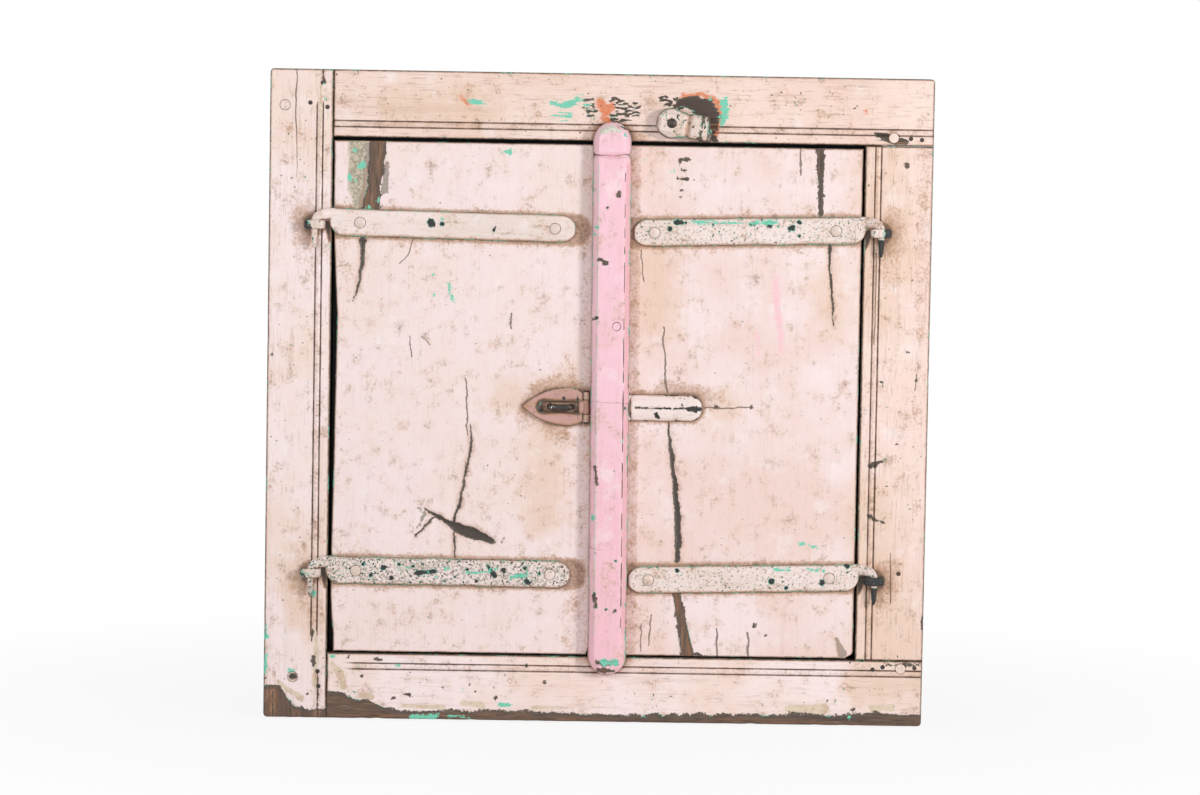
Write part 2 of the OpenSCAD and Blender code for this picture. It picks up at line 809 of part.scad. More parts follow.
// V cuts across the front and down both sides, which part the head from the body
module strip_neck() {
    z = strip_top - neck_down;
    half = neck_d * 1.4;
    translate([0, 0, z]) {
        rotate([90, 0, 90]) linear_extrude(height = strip_w + 2 * over, center = true)
            polygon([[-strip_t - over, -half * 1.3], [-strip_t + neck_d, 0], [-strip_t - over, half * 1.3]]);
        for (s = [-1, 1]) rotate([90, 0, 0]) linear_extrude(height = strip_t + over)
            polygon([[s * (strip_r + over), -half], [s * (strip_r - neck_d * 0.7), 0], [s * (strip_r + over), half]]);
    }
}

module cover_strip() {
    color(rose) difference() {
        on_strip() difference() {
            union() {
                translate([0, 0, strip_foot + strip_r])
                    linear_extrude(height = strip_top - strip_foot - 2 * strip_r) strip_section();
                strip_end(strip_top - strip_r);
                strip_end(strip_foot + strip_r);
            }
            strip_neck();
        }
        translate([strip_x, leaf_front + over, hasp_z]) rotate([90, 0, 0])
            linear_extrude(height = tail_t + 0.3 + over) square([strip_w + 2 * knuckle_r, tail_w + 0.6], center = true);
        strip_nail_set(fastener_play);
    }
}

// Nails through the strip, sunk and filled before painting
module strip_nail_set(play) {
    for (z = [strip_foot + strip_nail_in, strip_nail_z, strip_top - strip_nail_in])
        on_strip() rod(strip_nail_x, z, -strip_t + 1.5, strip_nail_r + play, strip_t + leaf_t - 5 + play);
}

module strip_nails() {
    color(iron) strip_nail_set(0);
}

// ---------- Hasp ----------

module knuckle(z0, z1, r) {
    translate([pin_x, pin_y, hasp_z + z0]) cylinder(h = z1 - z0, r = r);
}

// The hinged plate: a leaf shape drawn with two arcs, slotted for the staple
module hasp_plate() {
    reach = hasp_l - hasp_waist;
    arc_r = (reach * reach + hasp_w * hasp_w / 4) / hasp_w;
    root = pin_x - knuckle_r - knuckle_gap;
    tongue = middle_knuckle - 2 * knuckle_gap;
    color(dusty) difference() {
        union() {
            slab(pin_y + hasp_t / 2, pin_y - hasp_t / 2) intersection() {
                for (s = [-1]) translate([pin_x - hasp_waist, hasp_z - arc_r + hasp_w / 2]) circle(r = arc_r, $fn = 96);
                translate([pin_x - hasp_waist, hasp_z + arc_r - hasp_w / 2]) circle(r = arc_r, $fn = 96);
                front_box(pin_x - hasp_l - over, root, hasp_z - hasp_w, hasp_z + hasp_w);
            }
            slab(pin_y + hasp_t / 2, pin_y - hasp_t / 2)
                front_box(root - over, pin_x, hasp_z - tongue / 2, hasp_z + tongue / 2);
            knuckle(-tongue / 2, tongue / 2, knuckle_r);
        }
        knuckle(-barrel_l, barrel_l, hasp_pin_r + pin_play);
        slab(pin_y + hasp_t, pin_y - hasp_t) union() {
            front_box(eye_x - slot_l / 2 + slot_h / 4, eye_x + slot_l / 2 - slot_h / 4,
                hasp_z - slot_h / 2, hasp_z + slot_h / 2);
            front_box(eye_x - slot_l / 2, eye_x + slot_l / 2, hasp_z - slot_h / 4, hasp_z + slot_h / 4);
            for (sx = [-1, 1], sz = [-1, 1])
                translate([eye_x + sx * (slot_l / 2 - slot_h / 4), hasp_z + sz * slot_h / 4]) circle(r = slot_h / 4);
        }
    }
}

// The fixed strap: flat under the cover strip, half round where it shows
module hasp_tail() {
    flat_l = pin_x + knuckle_r + 0.6;
    show_x = strip_x + strip_r + 1;
    end_x = strip_x + strip_r + tail_l;
    rise = tail_ridge - tail_edge;
    ridge_r = (tail_w * tail_w / 4 + rise * rise) / (2 * rise);
    color(cream) difference() {
        union() {
            slab(leaf_front, leaf_front - tail_t)
                front_box(flat_l, show_x + over, hasp_z - tail_w / 2, hasp_z + tail_w / 2);
            intersection() {
                translate([show_x, leaf_front - tail_ridge + ridge_r, hasp_z]) rotate([0, 90, 0])
                    cylinder(h = end_x - show_x, r = ridge_r, $fn = 96);
                slab(leaf_front, leaf_front - tail_ridge - over) union() {
                    front_box(show_x, end_x - tail_w / 2, hasp_z - tail_w / 2, hasp_z + tail_w / 2);
                    translate([end_x - tail_w / 2, hasp_z]) circle(r = tail_w / 2);
                }
            }
            for (s = [-1, 1]) tail_knuckle(s, flat_l);
        }
        knuckle(-barrel_l, barrel_l, hasp_pin_r + fastener_play);
        for (x = tail_nail_xs()) tail_nail(x, fastener_play);
    }
}

// One of the two outer knuckles, with the web that joins it to the strap
module tail_knuckle(s, flat_l) {
    low = s < 0 ? -barrel_l / 2 : middle_knuckle / 2;
    high = s < 0 ? -middle_knuckle / 2 : barrel_l / 2;
    web_high = min(high, tail_w / 2);
    web_low = max(low, -tail_w / 2);
    knuckle(low, high, knuckle_r);
    slab(leaf_front - 0.5, leaf_front - tail_t)
        front_box(pin_x, flat_l + over, hasp_z + web_low, hasp_z + web_high);
}

function tail_nail_xs() = [strip_x + 2, strip_x + strip_r + tail_l - 12];

module tail_nail(x, play) {
    under_strip = x < strip_x + strip_r;
    head_y = leaf_front - (under_strip ? tail_t : tail_ridge - 1.2);
    rod(x, hasp_z, head_y, 2.2 + play, leaf_t + 1);
}

module hasp_tail_nails() {
    color(iron) for (x = tail_nail_xs()) tail_nail(x, 0);
}

module hasp_pin() {
    color(iron) {
        knuckle(-barrel_l / 2 - 0.6, barrel_l / 2 + 0.6, hasp_pin_r);
        for (z = [-barrel_l / 2 - 1.6, barrel_l / 2 + 0.4]) knuckle(z, z + 1.2, hasp_pin_r + 0.7);
    }
}

// The staple on the left leaf: two legs, two bends and a bar of round iron
module hasp_staple_iron(play) {
    r = eye_d / 2 + play;
    leg_y = eye_bar_y + eye_bend;
    for (s = [-1, 1]) {
        rod(eye_x + s * eye_w / 2, hasp_z, leg_y, r, leaf_front + 18 - leg_y);
        translate([eye_x + s * (eye_w / 2 - eye_bend), leg_y, hasp_z])
            rotate([0, 0, s > 0 ? -90 : 180]) rotate_extrude(angle = 90) translate([eye_bend, 0]) circle(r = r);
    }
    translate([eye_x - eye_w / 2 + eye_bend, eye_bar_y, hasp_z]) rotate([0, 90, 0])
        cylinder(h = eye_w - 2 * eye_bend, r = r);
}

module hasp_staple() {
    color(iron) hasp_staple_iron(0);
}

// ---------- Turn button ----------

// Places children at the pivot with -Z along the button and Y = 0 on its back
module on_button() {
    translate([button_x, button_back, button_z]) rotate([0, -button_turn, 0]) children();
}

// The carved button: three views of it, each drawn as a section, meet in one solid
module turn_button_block() {
    w = button_w / 2;
    h = button_head_r;
    neck_z = -h - 1.5;
    neck_in = 4;
    color(cream) difference() {
        on_button() intersection() {
            slab(0, -button_t) union() {
                circle(r = h);
                polygon([[-w, -button_l], [w, -button_l + button_skew], [w, -4], [-w, -4]]);
            }
            rotate([90, 0, 90]) linear_extrude(height = 4 * h, center = true) polygon([
                [0, h + over], [0, -button_l - over], [-button_tip_t, -button_l - over],
                [-button_t, -button_l + 13], [-button_t, neck_z - 3.5], [-button_t + neck_in, neck_z],
                [-button_t + 1.5, neck_z + 3.5], [-button_t + 1.5, h - 4], [-button_t + 5, h + over]
            ]);
            linear_extrude(height = 4 * button_l, center = true) polygon([
                [-h, 0], [h, 0], [h, -button_t + button_bevel + 3], [h - button_bevel - 3, -button_t],
                [-h + button_bevel + 3, -button_t], [-h, -button_t + button_bevel + 3]
            ]);
        }
        rod(button_x, button_z, button_back - button_t - over, pivot_r + pin_play, button_t + 2 * over);
    }
}

module button_pivot() {
    head_y = button_back - button_t + 1.2;
    color(iron) {
        dome(button_x, button_z, head_y, pivot_head_r, 1.8);
        rod(button_x, button_z, head_y, pivot_r, face_y + pivot_l - head_y);
    }
}

// ---------- Nodes ----------

left_stile();
right_stile();
top_rail();
bottom_rail();
frame_pegs();
frame_nails();
mirror_glass();
backing_board();
backing_screws();
hanger_plate(-1);  // left_hanger_plate
hanger_plate(1);  // right_hanger_plate
hanger_screws();
staple(0);  // left_upper_staple
staple(1);  // left_lower_staple
staple(2);  // right_upper_staple
staple(3);  // right_lower_staple
left_leaf_board();
ledge(-1, 0);  // left_upper_ledge
ledge(-1, 1);  // left_lower_ledge
ledge_nails(-1);  // left_ledge_nails
strap(0);  // left_upper_strap
strap(1);  // left_lower_strap
rivets(0);  // left_rivets
hasp_staple();
right_leaf_board();
ledge(1, 2);  // right_upper_ledge
ledge(1, 3);  // right_lower_ledge
ledge_nails(1);  // right_ledge_nails
strap(2);  // right_upper_strap
strap(3);  // right_lower_strap
rivets(2);  // right_rivets
cover_strip();
strip_nails();
hasp_tail();
hasp_tail_nails();
hasp_pin();
hasp_plate();
turn_button_block();
button_pivot();
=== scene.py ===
"""Dresses the shutter mirror: old layered paint on planks, forged straps and pintles, a carved cover strip
and turn button, and the hasp. Sizes are in millimetres until a mesh is made; X is right, Z is up and the
front faces -Y."""

import math

import bpy
import bmesh
import numpy as np
from mathutils import Matrix, Vector


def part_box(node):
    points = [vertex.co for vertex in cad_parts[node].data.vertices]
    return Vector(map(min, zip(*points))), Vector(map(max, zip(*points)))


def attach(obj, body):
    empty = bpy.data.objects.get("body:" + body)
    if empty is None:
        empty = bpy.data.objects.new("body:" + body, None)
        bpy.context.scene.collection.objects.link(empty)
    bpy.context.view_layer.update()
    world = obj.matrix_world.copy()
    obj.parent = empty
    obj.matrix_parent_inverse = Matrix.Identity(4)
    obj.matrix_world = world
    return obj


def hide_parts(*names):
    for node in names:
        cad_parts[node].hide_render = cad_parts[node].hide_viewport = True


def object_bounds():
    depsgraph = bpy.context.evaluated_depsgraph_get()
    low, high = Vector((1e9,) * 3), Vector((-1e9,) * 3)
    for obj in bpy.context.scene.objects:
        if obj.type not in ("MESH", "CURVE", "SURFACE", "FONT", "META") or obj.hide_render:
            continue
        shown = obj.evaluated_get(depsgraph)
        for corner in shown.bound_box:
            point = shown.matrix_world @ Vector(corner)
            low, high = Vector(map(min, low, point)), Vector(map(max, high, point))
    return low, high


bl_info = {
    "name": "Shutter mirror",
    "version": (1, 0, 0),
    "blender": (4, 5, 0),
    "location": "View3D > Sidebar > Shutter mirror",
    "description": "Painted planks, forged strap hinges and carved fittings of a wall mirror with shutters",
    "category": "Object",
}

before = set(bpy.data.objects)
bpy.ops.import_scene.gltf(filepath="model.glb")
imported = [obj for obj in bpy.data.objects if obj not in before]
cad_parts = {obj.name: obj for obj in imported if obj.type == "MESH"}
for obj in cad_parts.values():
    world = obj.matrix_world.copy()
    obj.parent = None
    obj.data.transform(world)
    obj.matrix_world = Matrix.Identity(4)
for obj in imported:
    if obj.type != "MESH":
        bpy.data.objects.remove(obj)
cad_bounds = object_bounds()

MM = 0.001
FRONT = -53.0  # Y of the frame's front face
LEAF_FRONT = -53.4  # Y of the leaves' front, which stands a little proud of it
LEAN = math.tan(math.radians(0.35))  # how far the cover strip and the leaves' meeting edges lean to the left
STRIP_MIDDLE, STRIP_HALF = 11.6, 19.25  # X of the cover strip's middle at half height, and half its width
HINGE_X = {"left": -284.5, "right": 279.5}  # the pintles' axes
STRAP_Z = {"upper": 173.0, "lower": -175.0}  # the middles of the straps
BUTTON_TURN = math.radians(82)  # how far the turn button is turned aside from hanging straight down
WITHIN = 0.02  # planed fronts stay this far inside their CAD box
FAR = 60.0  # the largest distance from wear; fields keep FAR less the distance, so that 0 reads as far away


def box_mm(node):
    """Lowest and highest corner of a CAD node, in millimetres."""
    low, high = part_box(node)
    return np.array(low) / MM, np.array(high) / MM


def linear(code):
    """An sRGB hex colour as linear red, green, blue and alpha."""
    parts = [int(code[i : i + 2], 16) / 255 for i in (1, 3, 5)]
    return (*(c / 12.92 if c <= 0.04045 else ((c + 0.055) / 1.055) ** 2.4 for c in parts), 1.0)


# ---------- Sizes and colours that a user would change ----------


def length_prop(name, description, millimetres, low=0.0, high=1.0):
    """A length in metres, given in millimetres."""
    return bpy.props.FloatProperty(
        name=name, description=description, default=millimetres * MM, min=low, max=high, unit="LENGTH",
        precision=5,
    )


def colour_prop(name, description, code):
    """A colour, given as an sRGB hex code."""
    return bpy.props.FloatVectorProperty(
        name=name, description=description, default=linear(code), subtype="COLOR", size=4, min=0, max=1,
    )


class PaintSettings(bpy.types.PropertyGroup):
    """Colours of the old paint and of what shows through it."""

    leaf: colour_prop("Leaf paint", "Thick pale pink of the leaves", "#F9E6E5")
    rail: colour_prop("Frame paint", "Peach pink of the frame", "#F7DFD5")
    strip: colour_prop("Strip paint", "Stronger pink of the cover strip", "#FBCDDA")
    hasp: colour_prop("Hasp paint", "Dull pink of the hasp plate", "#CFA39C")
    cream: colour_prop("Cream paint", "Yellowed cream of the straps and the button", "#F6E4DF")
    under: colour_prop("Undercoat", "Turquoise layer under the pink", "#76D2B6")
    old_cream: colour_prop("Old cream", "Yellowed cream layer under the pink", "#E4D2B9")
    old_grey: colour_prop("Old grey", "Grey primer round the bare patches", "#857B6F")
    wood: colour_prop("Bare wood", "Aged wood where the paint is gone", "#6A5344")
    crack: colour_prop("Cracks", "Dirt at the bottom of cracks", "#3A3029")
    stain: colour_prop("Stains", "Tan bloom in the old paint", "#E9C9B0")
    bloom: colour_prop("Bloom", "Chalky white bloom on the old paint", "#FDF2F0")
    # Grime, old dirt and the crack colour are laid as dirt, and also as painted shade where the dirt and
    # groove fields carry it
    grime: colour_prop("Grime", "Brown dirt rubbed into corners", "#BB8E6C")
    soot: colour_prop("Old dirt", "Darkest dirt in grooves and along edges", "#6C4F3D")
    iron: colour_prop("Bare iron", "Dark forged iron", "#34373A")


class ShapeSettings(bpy.types.PropertyGroup):
    """Sizes of the hand-made shapes."""

    mesh_step: length_prop("Mesh step", "Distance between points along the planks", 2.2, 0.001, 0.01)
    worn_edge: length_prop("Worn edge", "Radius of the planks' worn edges", 1.8, 0.0002, 0.005)
    waviness: length_prop("Waviness", "Height of the planks' hand-planed waves", 0.35, 0.0, 0.002)
    hammer: length_prop("Hammer marks", "Depth of the dents left by the hammer", 0.35, 0.0, 0.001)
    band: length_prop("Band", "Flat band between the opening and the bead", 9.5, 0.005, 0.015)
    bead: length_prop("Bead", "Width of the bead", 4.5, 0.002, 0.008)
    quirk: length_prop("Quirk", "Width of the groove on each side of the bead", 1.5, 0.0005, 0.003)
    quirk_depth: length_prop("Quirk depth", "Depth of these grooves under the paint", 1.9, 0.0, 0.004)


class StageSettings(bpy.types.PropertyGroup):
    """Lamps, floor and camera."""

    key: bpy.props.FloatProperty(
        name="Key lamp", description="Power of the large front lamp", default=32.0, unit="POWER"
    )
    fill: bpy.props.FloatProperty(
        name="Fill lamp", description="Power of the second lamp", default=13.5, unit="POWER"
    )
    sky: bpy.props.FloatProperty(
        name="Sky", description="Strength of the even light from all round", default=0.34
    )
    lens: length_prop("Lens", "Focal length of the camera", 120.0, 0.02, 0.4)


# ---------- Shapes ----------


def waves(x, z, size, seed, count=14):
    """Smooth random field of about -1 to 1: a sum of cosine waves of about one length, each with its own
    direction."""
    rng = np.random.default_rng(seed)
    total = np.zeros(np.broadcast(x, z).shape)
    for _ in range(count):
        turn, phase, stretch = rng.uniform(0, 2 * np.pi), rng.uniform(0, 2 * np.pi), rng.uniform(0.6, 1.7)
        total = total + np.cos(2 * np.pi * (x * np.cos(turn) + z * np.sin(turn)) / (size * stretch) + phase)
    return total * (1.2 / count**0.5 / 1.4)


def reach(x, z, strokes):
    """Distance from each point to the nearest stroke less the stroke's half-width there, so negative inside
    it. A stroke is a list of (x, z, half-width) points joined by straight tapering lines."""
    best = np.full(np.broadcast(x, z).shape, FAR)
    for stroke in strokes:
        ends = stroke[1:] or stroke
        for (x0, z0, w0), (x1, z1, w1) in zip(stroke, ends):
            dx, dz = x1 - x0, z1 - z0
            along = np.clip(((x - x0) * dx + (z - z0) * dz) / (dx * dx + dz * dz + 1e-9), 0, 1)
            gap = np.hypot(x - x0 - along * dx, z - z0 - along * dz) - (w0 + along * (w1 - w0))
            best = np.minimum(best, gap)
    return best


def quarter_round(distance, radius):
    """Drop of a rounded edge: nothing from one radius inwards, the whole radius at the edge, a quarter
    circle between."""
    inside = 1 - np.clip(distance / radius, 0, 1)
    return radius * (1 - np.sqrt(1 - inside**2))


def arched(left, half):
    """Half-width of a bar with a round end, at a distance from that end: half a circle's chord, then all of
    half."""
    return np.sqrt(np.clip(half**2 - np.clip(half - left, 0, half) ** 2, 0, None))


def strip_middle(z):
    """X of the cover strip's middle at a height."""
    return STRIP_MIDDLE - z * LEAN


def bell(offset, width):
    """Bell curve: 1 where the offset is nothing, 1/e where it is the width."""
    return np.exp(-((offset / width) ** 2))


def beside(x, z, strokes, width):
    """1 on the strokes, and falling off beside them as a bell curve."""
    return bell(np.maximum(reach(x, z, strokes), 0), width)


def positions(start, end, step, fine=(), edge=(0.25, 0.6, 1.1, 1.8), least=0.12):
    """Places from start to end about one step apart, closer at both ends and inside the fine (from, to,
    step) spans."""
    places = [np.linspace(start, end, max(3, int((end - start) / step) + 1))]
    places += [start + np.array(edge), end - np.array(edge)]
    places += [np.arange(a, b, s) for a, b, s in fine]
    joined = np.unique(np.concatenate(places).round(3))
    keep = np.concatenate([[True], np.diff(joined) > least])
    return joined[keep]


def make_mesh(name, blocks, attributes=()):
    """One mesh from blocks of points [station, place on the loop, xyz] in millimetres. Each loop is closed,
    its end loops are closed to their middle, and doubled points are merged, so the surface has no open
    edge."""
    verts, faces, values = [], [], {key: [] for key in attributes}
    start = 0
    for points, fields in blocks:
        stations, loop = points.shape[:2]
        grid = start + np.arange(stations * loop).reshape(stations, loop)
        nxt = np.roll(grid, -1, axis=1)
        quads = np.stack([grid[:-1], nxt[:-1], nxt[1:], grid[1:]], axis=-1).reshape(-1, 4)
        middles = points[[0, -1]].mean(axis=1)
        first, last = start + stations * loop, start + stations * loop + 1
        caps = np.stack([np.full(loop, first), nxt[0], grid[0], grid[0]], axis=-1)
        ends = np.stack([np.full(loop, last), grid[-1], nxt[-1], nxt[-1]], axis=-1)
        verts += [points.reshape(-1, 3), middles]
        faces += [quads.tolist(), caps[:, :3].tolist(), ends[:, :3].tolist()]
        for key in attributes:
            field = fields.get(key, np.zeros((stations, loop)))
            values[key] += [field.ravel(), field[[0, -1]].mean(axis=1)]
        start += stations * loop + 2
    mesh = bpy.data.meshes.new(name)
    mesh.from_pydata((np.concatenate(verts) * MM).tolist(), [], [f for group in faces for f in group])
    for key in attributes:
        layer = mesh.attributes.new(key, "FLOAT", "POINT")
        layer.data.foreach_set("value", np.concatenate(values[key]).astype(np.float32))
    tidy = bmesh.new()
    tidy.from_mesh(mesh)
    bmesh.ops.remove_doubles(tidy, verts=tidy.verts, dist=2e-6)
    bmesh.ops.dissolve_degenerate(tidy, edges=tidy.edges, dist=1e-6)
    bmesh.ops.recalc_face_normals(tidy, faces=tidy.faces)
    tidy.to_mesh(mesh)
    tidy.free()
    mesh.shade_smooth()
    return mesh


def piece(name, mesh, material, body, nodes):
    """Puts a finished mesh in the scene: its material, the CAD body it rides and the nodes it
    stands for."""
    obj = bpy.data.objects.new(name, mesh)
    bpy.context.scene.collection.objects.link(obj)
    mesh.materials.append(material)
    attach(obj, body)
    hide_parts(*nodes)


def slab(along, across, left, right, height, place, fields, bare_sides=False, taper=0.0):
    """A carved slab. At each station its plan runs from left to right; height(a, s, edge) is how far its
    front stands out of the base plane, where edge is the distance to the plan's outline. Walls drop from
    the front's rim to the base, which is narrower by the taper on each side. place(a, s, out) turns the
    three into x, y and z. Returns the points and the fields at them."""
    s = along[:, None]
    share = (across - across[0]) / (across[-1] - across[0])
    lo, hi = left(s), right(s)
    a = lo + (hi - lo) * share[None, :]
    s = np.broadcast_to(s, a.shape)
    edge = np.minimum.reduce([a - lo, hi - a, s - along[0], along[-1] - s])
    out = height(a, s, edge)
    back = np.linspace(1, 0, 7)[None, :]
    back_a = lo + taper + (hi - lo - 2 * taper) * back
    back_s = np.broadcast_to(along[:, None], back_a.shape)
    loop_a = np.concatenate([a, back_a], axis=1)
    loop_s = np.concatenate([s, back_s], axis=1)
    loop_out = np.concatenate([out, np.zeros_like(back_a)], axis=1)
    points = np.stack(place(loop_a, loop_s, loop_out), axis=-1)
    walls = np.concatenate([np.zeros_like(a), np.ones_like(back_a)], axis=1)
    down = walls * 12.0 * (-1 if bare_sides else 1)  # bare sides read as past the edge, others as far inside
    values = {key: field(points[..., 0], points[..., 2]) for key, field in fields.items()}
    values["edge"] = FAR - np.concatenate([edge, np.zeros_like(back_a)], axis=1) - down
    values["dirt"] = np.maximum(values.get("dirt", 0 * walls), walls)
    values["teal"] = values.get("teal", 0 * walls) * (1 - walls)  # the back was never turquoise
    return points, values


def upright(base):
    """Places a slab's across, along and out as X, Z and -Y, from a base plane at that Y."""
    return lambda a, s, out: (a, base - out, s)


def level(base):
    """The same for a slab that lies along X."""
    return lambda a, s, out: (s, base - out, a)


def catmull(points, count):
    """A smooth curve through the points: between each two, the cubic whose slopes are half the step over
    neighbours."""
    p = np.asarray(points, float)
    p = np.concatenate([[2 * p[0] - p[1]], p, [2 * p[-1] - p[-2]]])
    t = np.linspace(0, len(points) - 1, count)
    i = np.minimum(t.astype(int), len(points) - 2)
    f = (t - i)[:, None]
    a, b, c, d = p[i], p[i + 1], p[i + 2], p[i + 3]
    return 0.5 * (2 * b + (c - a) * f + (2 * a - 5 * b + 4 * c - d) * f**2 + (3 * b - a - 3 * c + d) * f**3)


def sweep(path, wide, thick, reference, sides=28, power=2.4, dent=0.0, seed=0):
    """A bar along a path. Its section is a superellipse, whose coordinates are the cosine and sine of an
    angle raised to 2/power, wide across and thick towards the reference direction, with random dents."""
    slope = np.gradient(path, axis=0)
    slope /= np.linalg.norm(slope, axis=1, keepdims=True)
    across = np.cross(slope, reference)
    across /= np.linalg.norm(across, axis=1, keepdims=True)
    up = np.cross(across, slope)
    turn = np.linspace(0, 2 * np.pi, sides, endpoint=False)
    c, s = np.cos(turn), np.sin(turn)
    cx, sy = np.sign(c) * np.abs(c) ** (2 / power), np.sign(s) * np.abs(s) ** (2 / power)
    length = np.concatenate([[0], np.cumsum(np.linalg.norm(np.diff(path, axis=0), axis=1))])
    swell = 1 + dent * waves(length[:, None], (turn * 6)[None, :], 9, seed) if dent else 1.0
    ring_a = np.asarray(wide)[:, None] * cx[None, :] * swell
    ring_b = np.asarray(thick)[:, None] * sy[None, :] * swell
    return path[:, None] + ring_a[..., None] * across[:, None] + ring_b[..., None] * up[:, None]


# ---------- Where the wear is, in millimetres on the front: strokes of (x, z, half-width) ----------

# Left leaf: cracks, hairlines and the gash; the bare stripe at its top, and the older coats beside it
LEFT_CRACKS = [
    [(-237, 154, 4), (-236.5, 147, 2.2), (-238, 130, 1.3), (-241, 110, 0.9), (-245, 95, 0.3)],
    [(-126, -28, 0.3), (-127, -55, 0.9), (-130, -66, 0.8),
     (-133, -88, 0.9), (-138, -110, 1.1), (-142, -125, 1.3)],
    [(-142, -136, 0.5), (-141, -160, 0.6)],
]
LEFT_HAIRS = [
    [(-132, 19, 0.3), (-131, -12, 0.5), (-130, -38, 0.3)], [(-87, 84, 0.5), (-88, 70, 0.3)],
    [(-190, 60, 0.1), (-186, 40, 0.2)], [(-186, 158, 0.2), (-192, 141, 0.2), (-201, 132, 0.1)],
    [(-175, 60, 0.1), (-168, 52, 0.1)],
]
LEFT_GASH = [
    [(-171, -112, 0.5), (-162, -118, 1.2), (-149, -126, 2.2),
     (-139, -131, 5.2), (-122, -136, 5.6), (-102, -144, 2.4)],
    [(-180, -139, 0.8), (-172, -131, 0.8), (-163, -121, 0.8)],
]
LEFT_STRIPE = [[(-223, 254, 9), (-224, 228, 8), (-227, 208, 6.5), (-229, 188, 8.5)]]
LEFT_STAIN = [[(-243, 252, 8), (-243, 215, 8), (-240, 190, 7)]]
LEFT_TEAL = [
    [(-245, 244, 2.2)], [(-238, 230, 3)], [(-251, 218, 2.2)], [(-246, 214, 1.8)], [(-230, 188, 1.6)],
    [(-99, 245, 1.2), (-90, 247, 0.8)], [(-150, 113, 1.2), (-148, 98, 1.9)], [(-166, 122, 1.4)],
    [(-165, 102, 0.9)], [(-66, 232, 0.6)], [(-222, 195, 0.6)],
]
LEFT_OLD = [
    [(-232, 250, 3), (-234, 215, 3), (-236, 190, 5)], [(-214, 232, 2), (-216, 205, 3)],
    [(-178, -111, 0.8), (-171, -117, 1), (-179, -133, 0.6)],
    [(-101, -146, 0.6), (-93, -145, 0.8), (-91, -139, 0.4)], [(-128, -66, 0.8), (-131, -80, 0.6)],
]
# Right leaf: cracks, hairlines, bare stripes, loose chips, the button's trail, older coats and the blush
RIGHT_CRACKS = [
    [(228, 159, 1.2), (230, 128, 1.1), (233, 95, 0.8), (234, 78, 0.3)],
    [(71, -21, 0.6), (74, -48, 1.5), (78, -79, 2.2), (81, -108, 2.4), (83, -136, 2.7), (82, -160, 2.4)],
]
RIGHT_HAIRS = [
    [(198, 253, 0.6), (198, 228, 0.3)], [(64, 73, 0.2), (66, 45, 0.5), (68, 9, 0.7)],
    [(123, -229, 0.5), (124, -256, 0.7)], [(154, -232, 0.5), (155, -256, 0.7)],
    [(106, -6.5, 0.2), (155, -6, 0.2)], [(40, 150, 0.1), (44, 118, 0.2)], [(57, -215, 0.2), (55, -246, 0.3)],
    [(48, -225, 0.1), (46, -252, 0.2)],
]
RIGHT_STRIPE = [
    [(217, 254, 3.4), (218, 220, 3), (219.5, 188, 2)],
    [(82, -194, 4), (87, -215, 4.4), (91, -238, 5.5), (94, -256, 7)],
]
RIGHT_PATCHES = [
    [(78, 236, 1)], [(76, 226, 0.9)], [(85, 208, 0.8)], [(79, 214, 0.6)], [(160, -225, 1.6)],
    [(172, -234, 1.6)], [(118, -6, 2)], [(154, -5, 1.4)], [(98, -254, 2), (112, -257, 0.6)],
    [(195, -256, 0.8), (232, -257, 0.8)],
]
BUTTON_TRAIL = [
    [(77, 240, 1.9), (86, 241, 1.4)], [(80, 231, 1.8), (84, 230, 1.4)], [(76, 222, 1.8), (85, 221, 1.8)],
    [(80, 217, 1.4)], [(79, 210, 1.8), (83, 209, 1.5)], [(79, 203, 1.5)],
]
RIGHT_TEAL = [[(44, 240, 0.6)], [(205, -142, 0.6), (228, -146, 0.4)], [(130, 222, 0.5)], [(72, 229, 0.8)]]
RIGHT_OLD = [[(242, -236, 1), (247, -246, 3), (250, -252, 4)], [(66, 236, 0.5)], [(70, 222, 0.6)]]
RIGHT_BLUSH = [
    [(174, 128, 1), (177, 104, 2.5), (180, 78, 3), (182, 50, 1)], [(158, 70, 0.5), (160, 48, 0.5)],
]
# Stiles: cracks, hairlines, chips, scars, older coats, and points (x, z) of the line below which one is bare
STILE_CRACKS = [
    [(-278, 325, 0.6), (-278, 313, 0.4)], [(-321, -299, 0.2), (-321, -325, 0.5)],
    [(-276.5, -288, 0.3), (-276, -325, 0.4)], [(-277, -278, 0.2), (-276, -291, 0.2)],
]
STILE_HAIRS = [[(-304, 325, 0.2), (-305, 281, 0.3), (-303, 242, 0.0), (-303, 217, -0.2)]]
SIDE_CHIPS = [
    [(-330, -240, 1.4)], [(-330, -258, 1.2)], [(-328, -285, 1.4)], [(-318, -262, 0.9)], [(-324, -210, 0.8)],
    [(-282, -236, 1.2), (-283, -248, 1)], [(-286, -300, 1.2)], [(-281, -262, 1), (-281, -272, 1.2)],
    [(-326, 40, 0.8)], [(-276, 312, 1)],
]
SIDE_TEAL = [
    [(-329, -232, 1.2), (-329, -244, 1.6)], [(-328, -262, 1.4), (-329, -280, 1.6)], [(-326, -254, 1)],
    [(-304, -277, 1.4), (-299, -277, 1.2)], [(-281, -198, 0.5), (-281, -204, 0.3)], [(-275, 296, 1)],
]
STILE_OLD = [
    [(-316, -288, 1), (-306, -297, 2), (-292, -305, 2)], [(-279, -235, 1), (-278, -262, 2), (-280, -290, 2)],
    [(-281, 250, 0.6), (-280, 310, 1)],
]
STILE_FOOT = [
    (-331, -291), (-322, -293), (-314, -292), (-308, -303), (-300, -311), (-290, -315), (-267, -314),
]
RIGHT_STILE_HAIRS = [
    [(318, 30, 0.3), (317, 14, 0.1)], [(276, 150, 0.2), (275, 60, 0.1)],
    [(296, -150, 0.1), (297, -200, 0.3)],
]
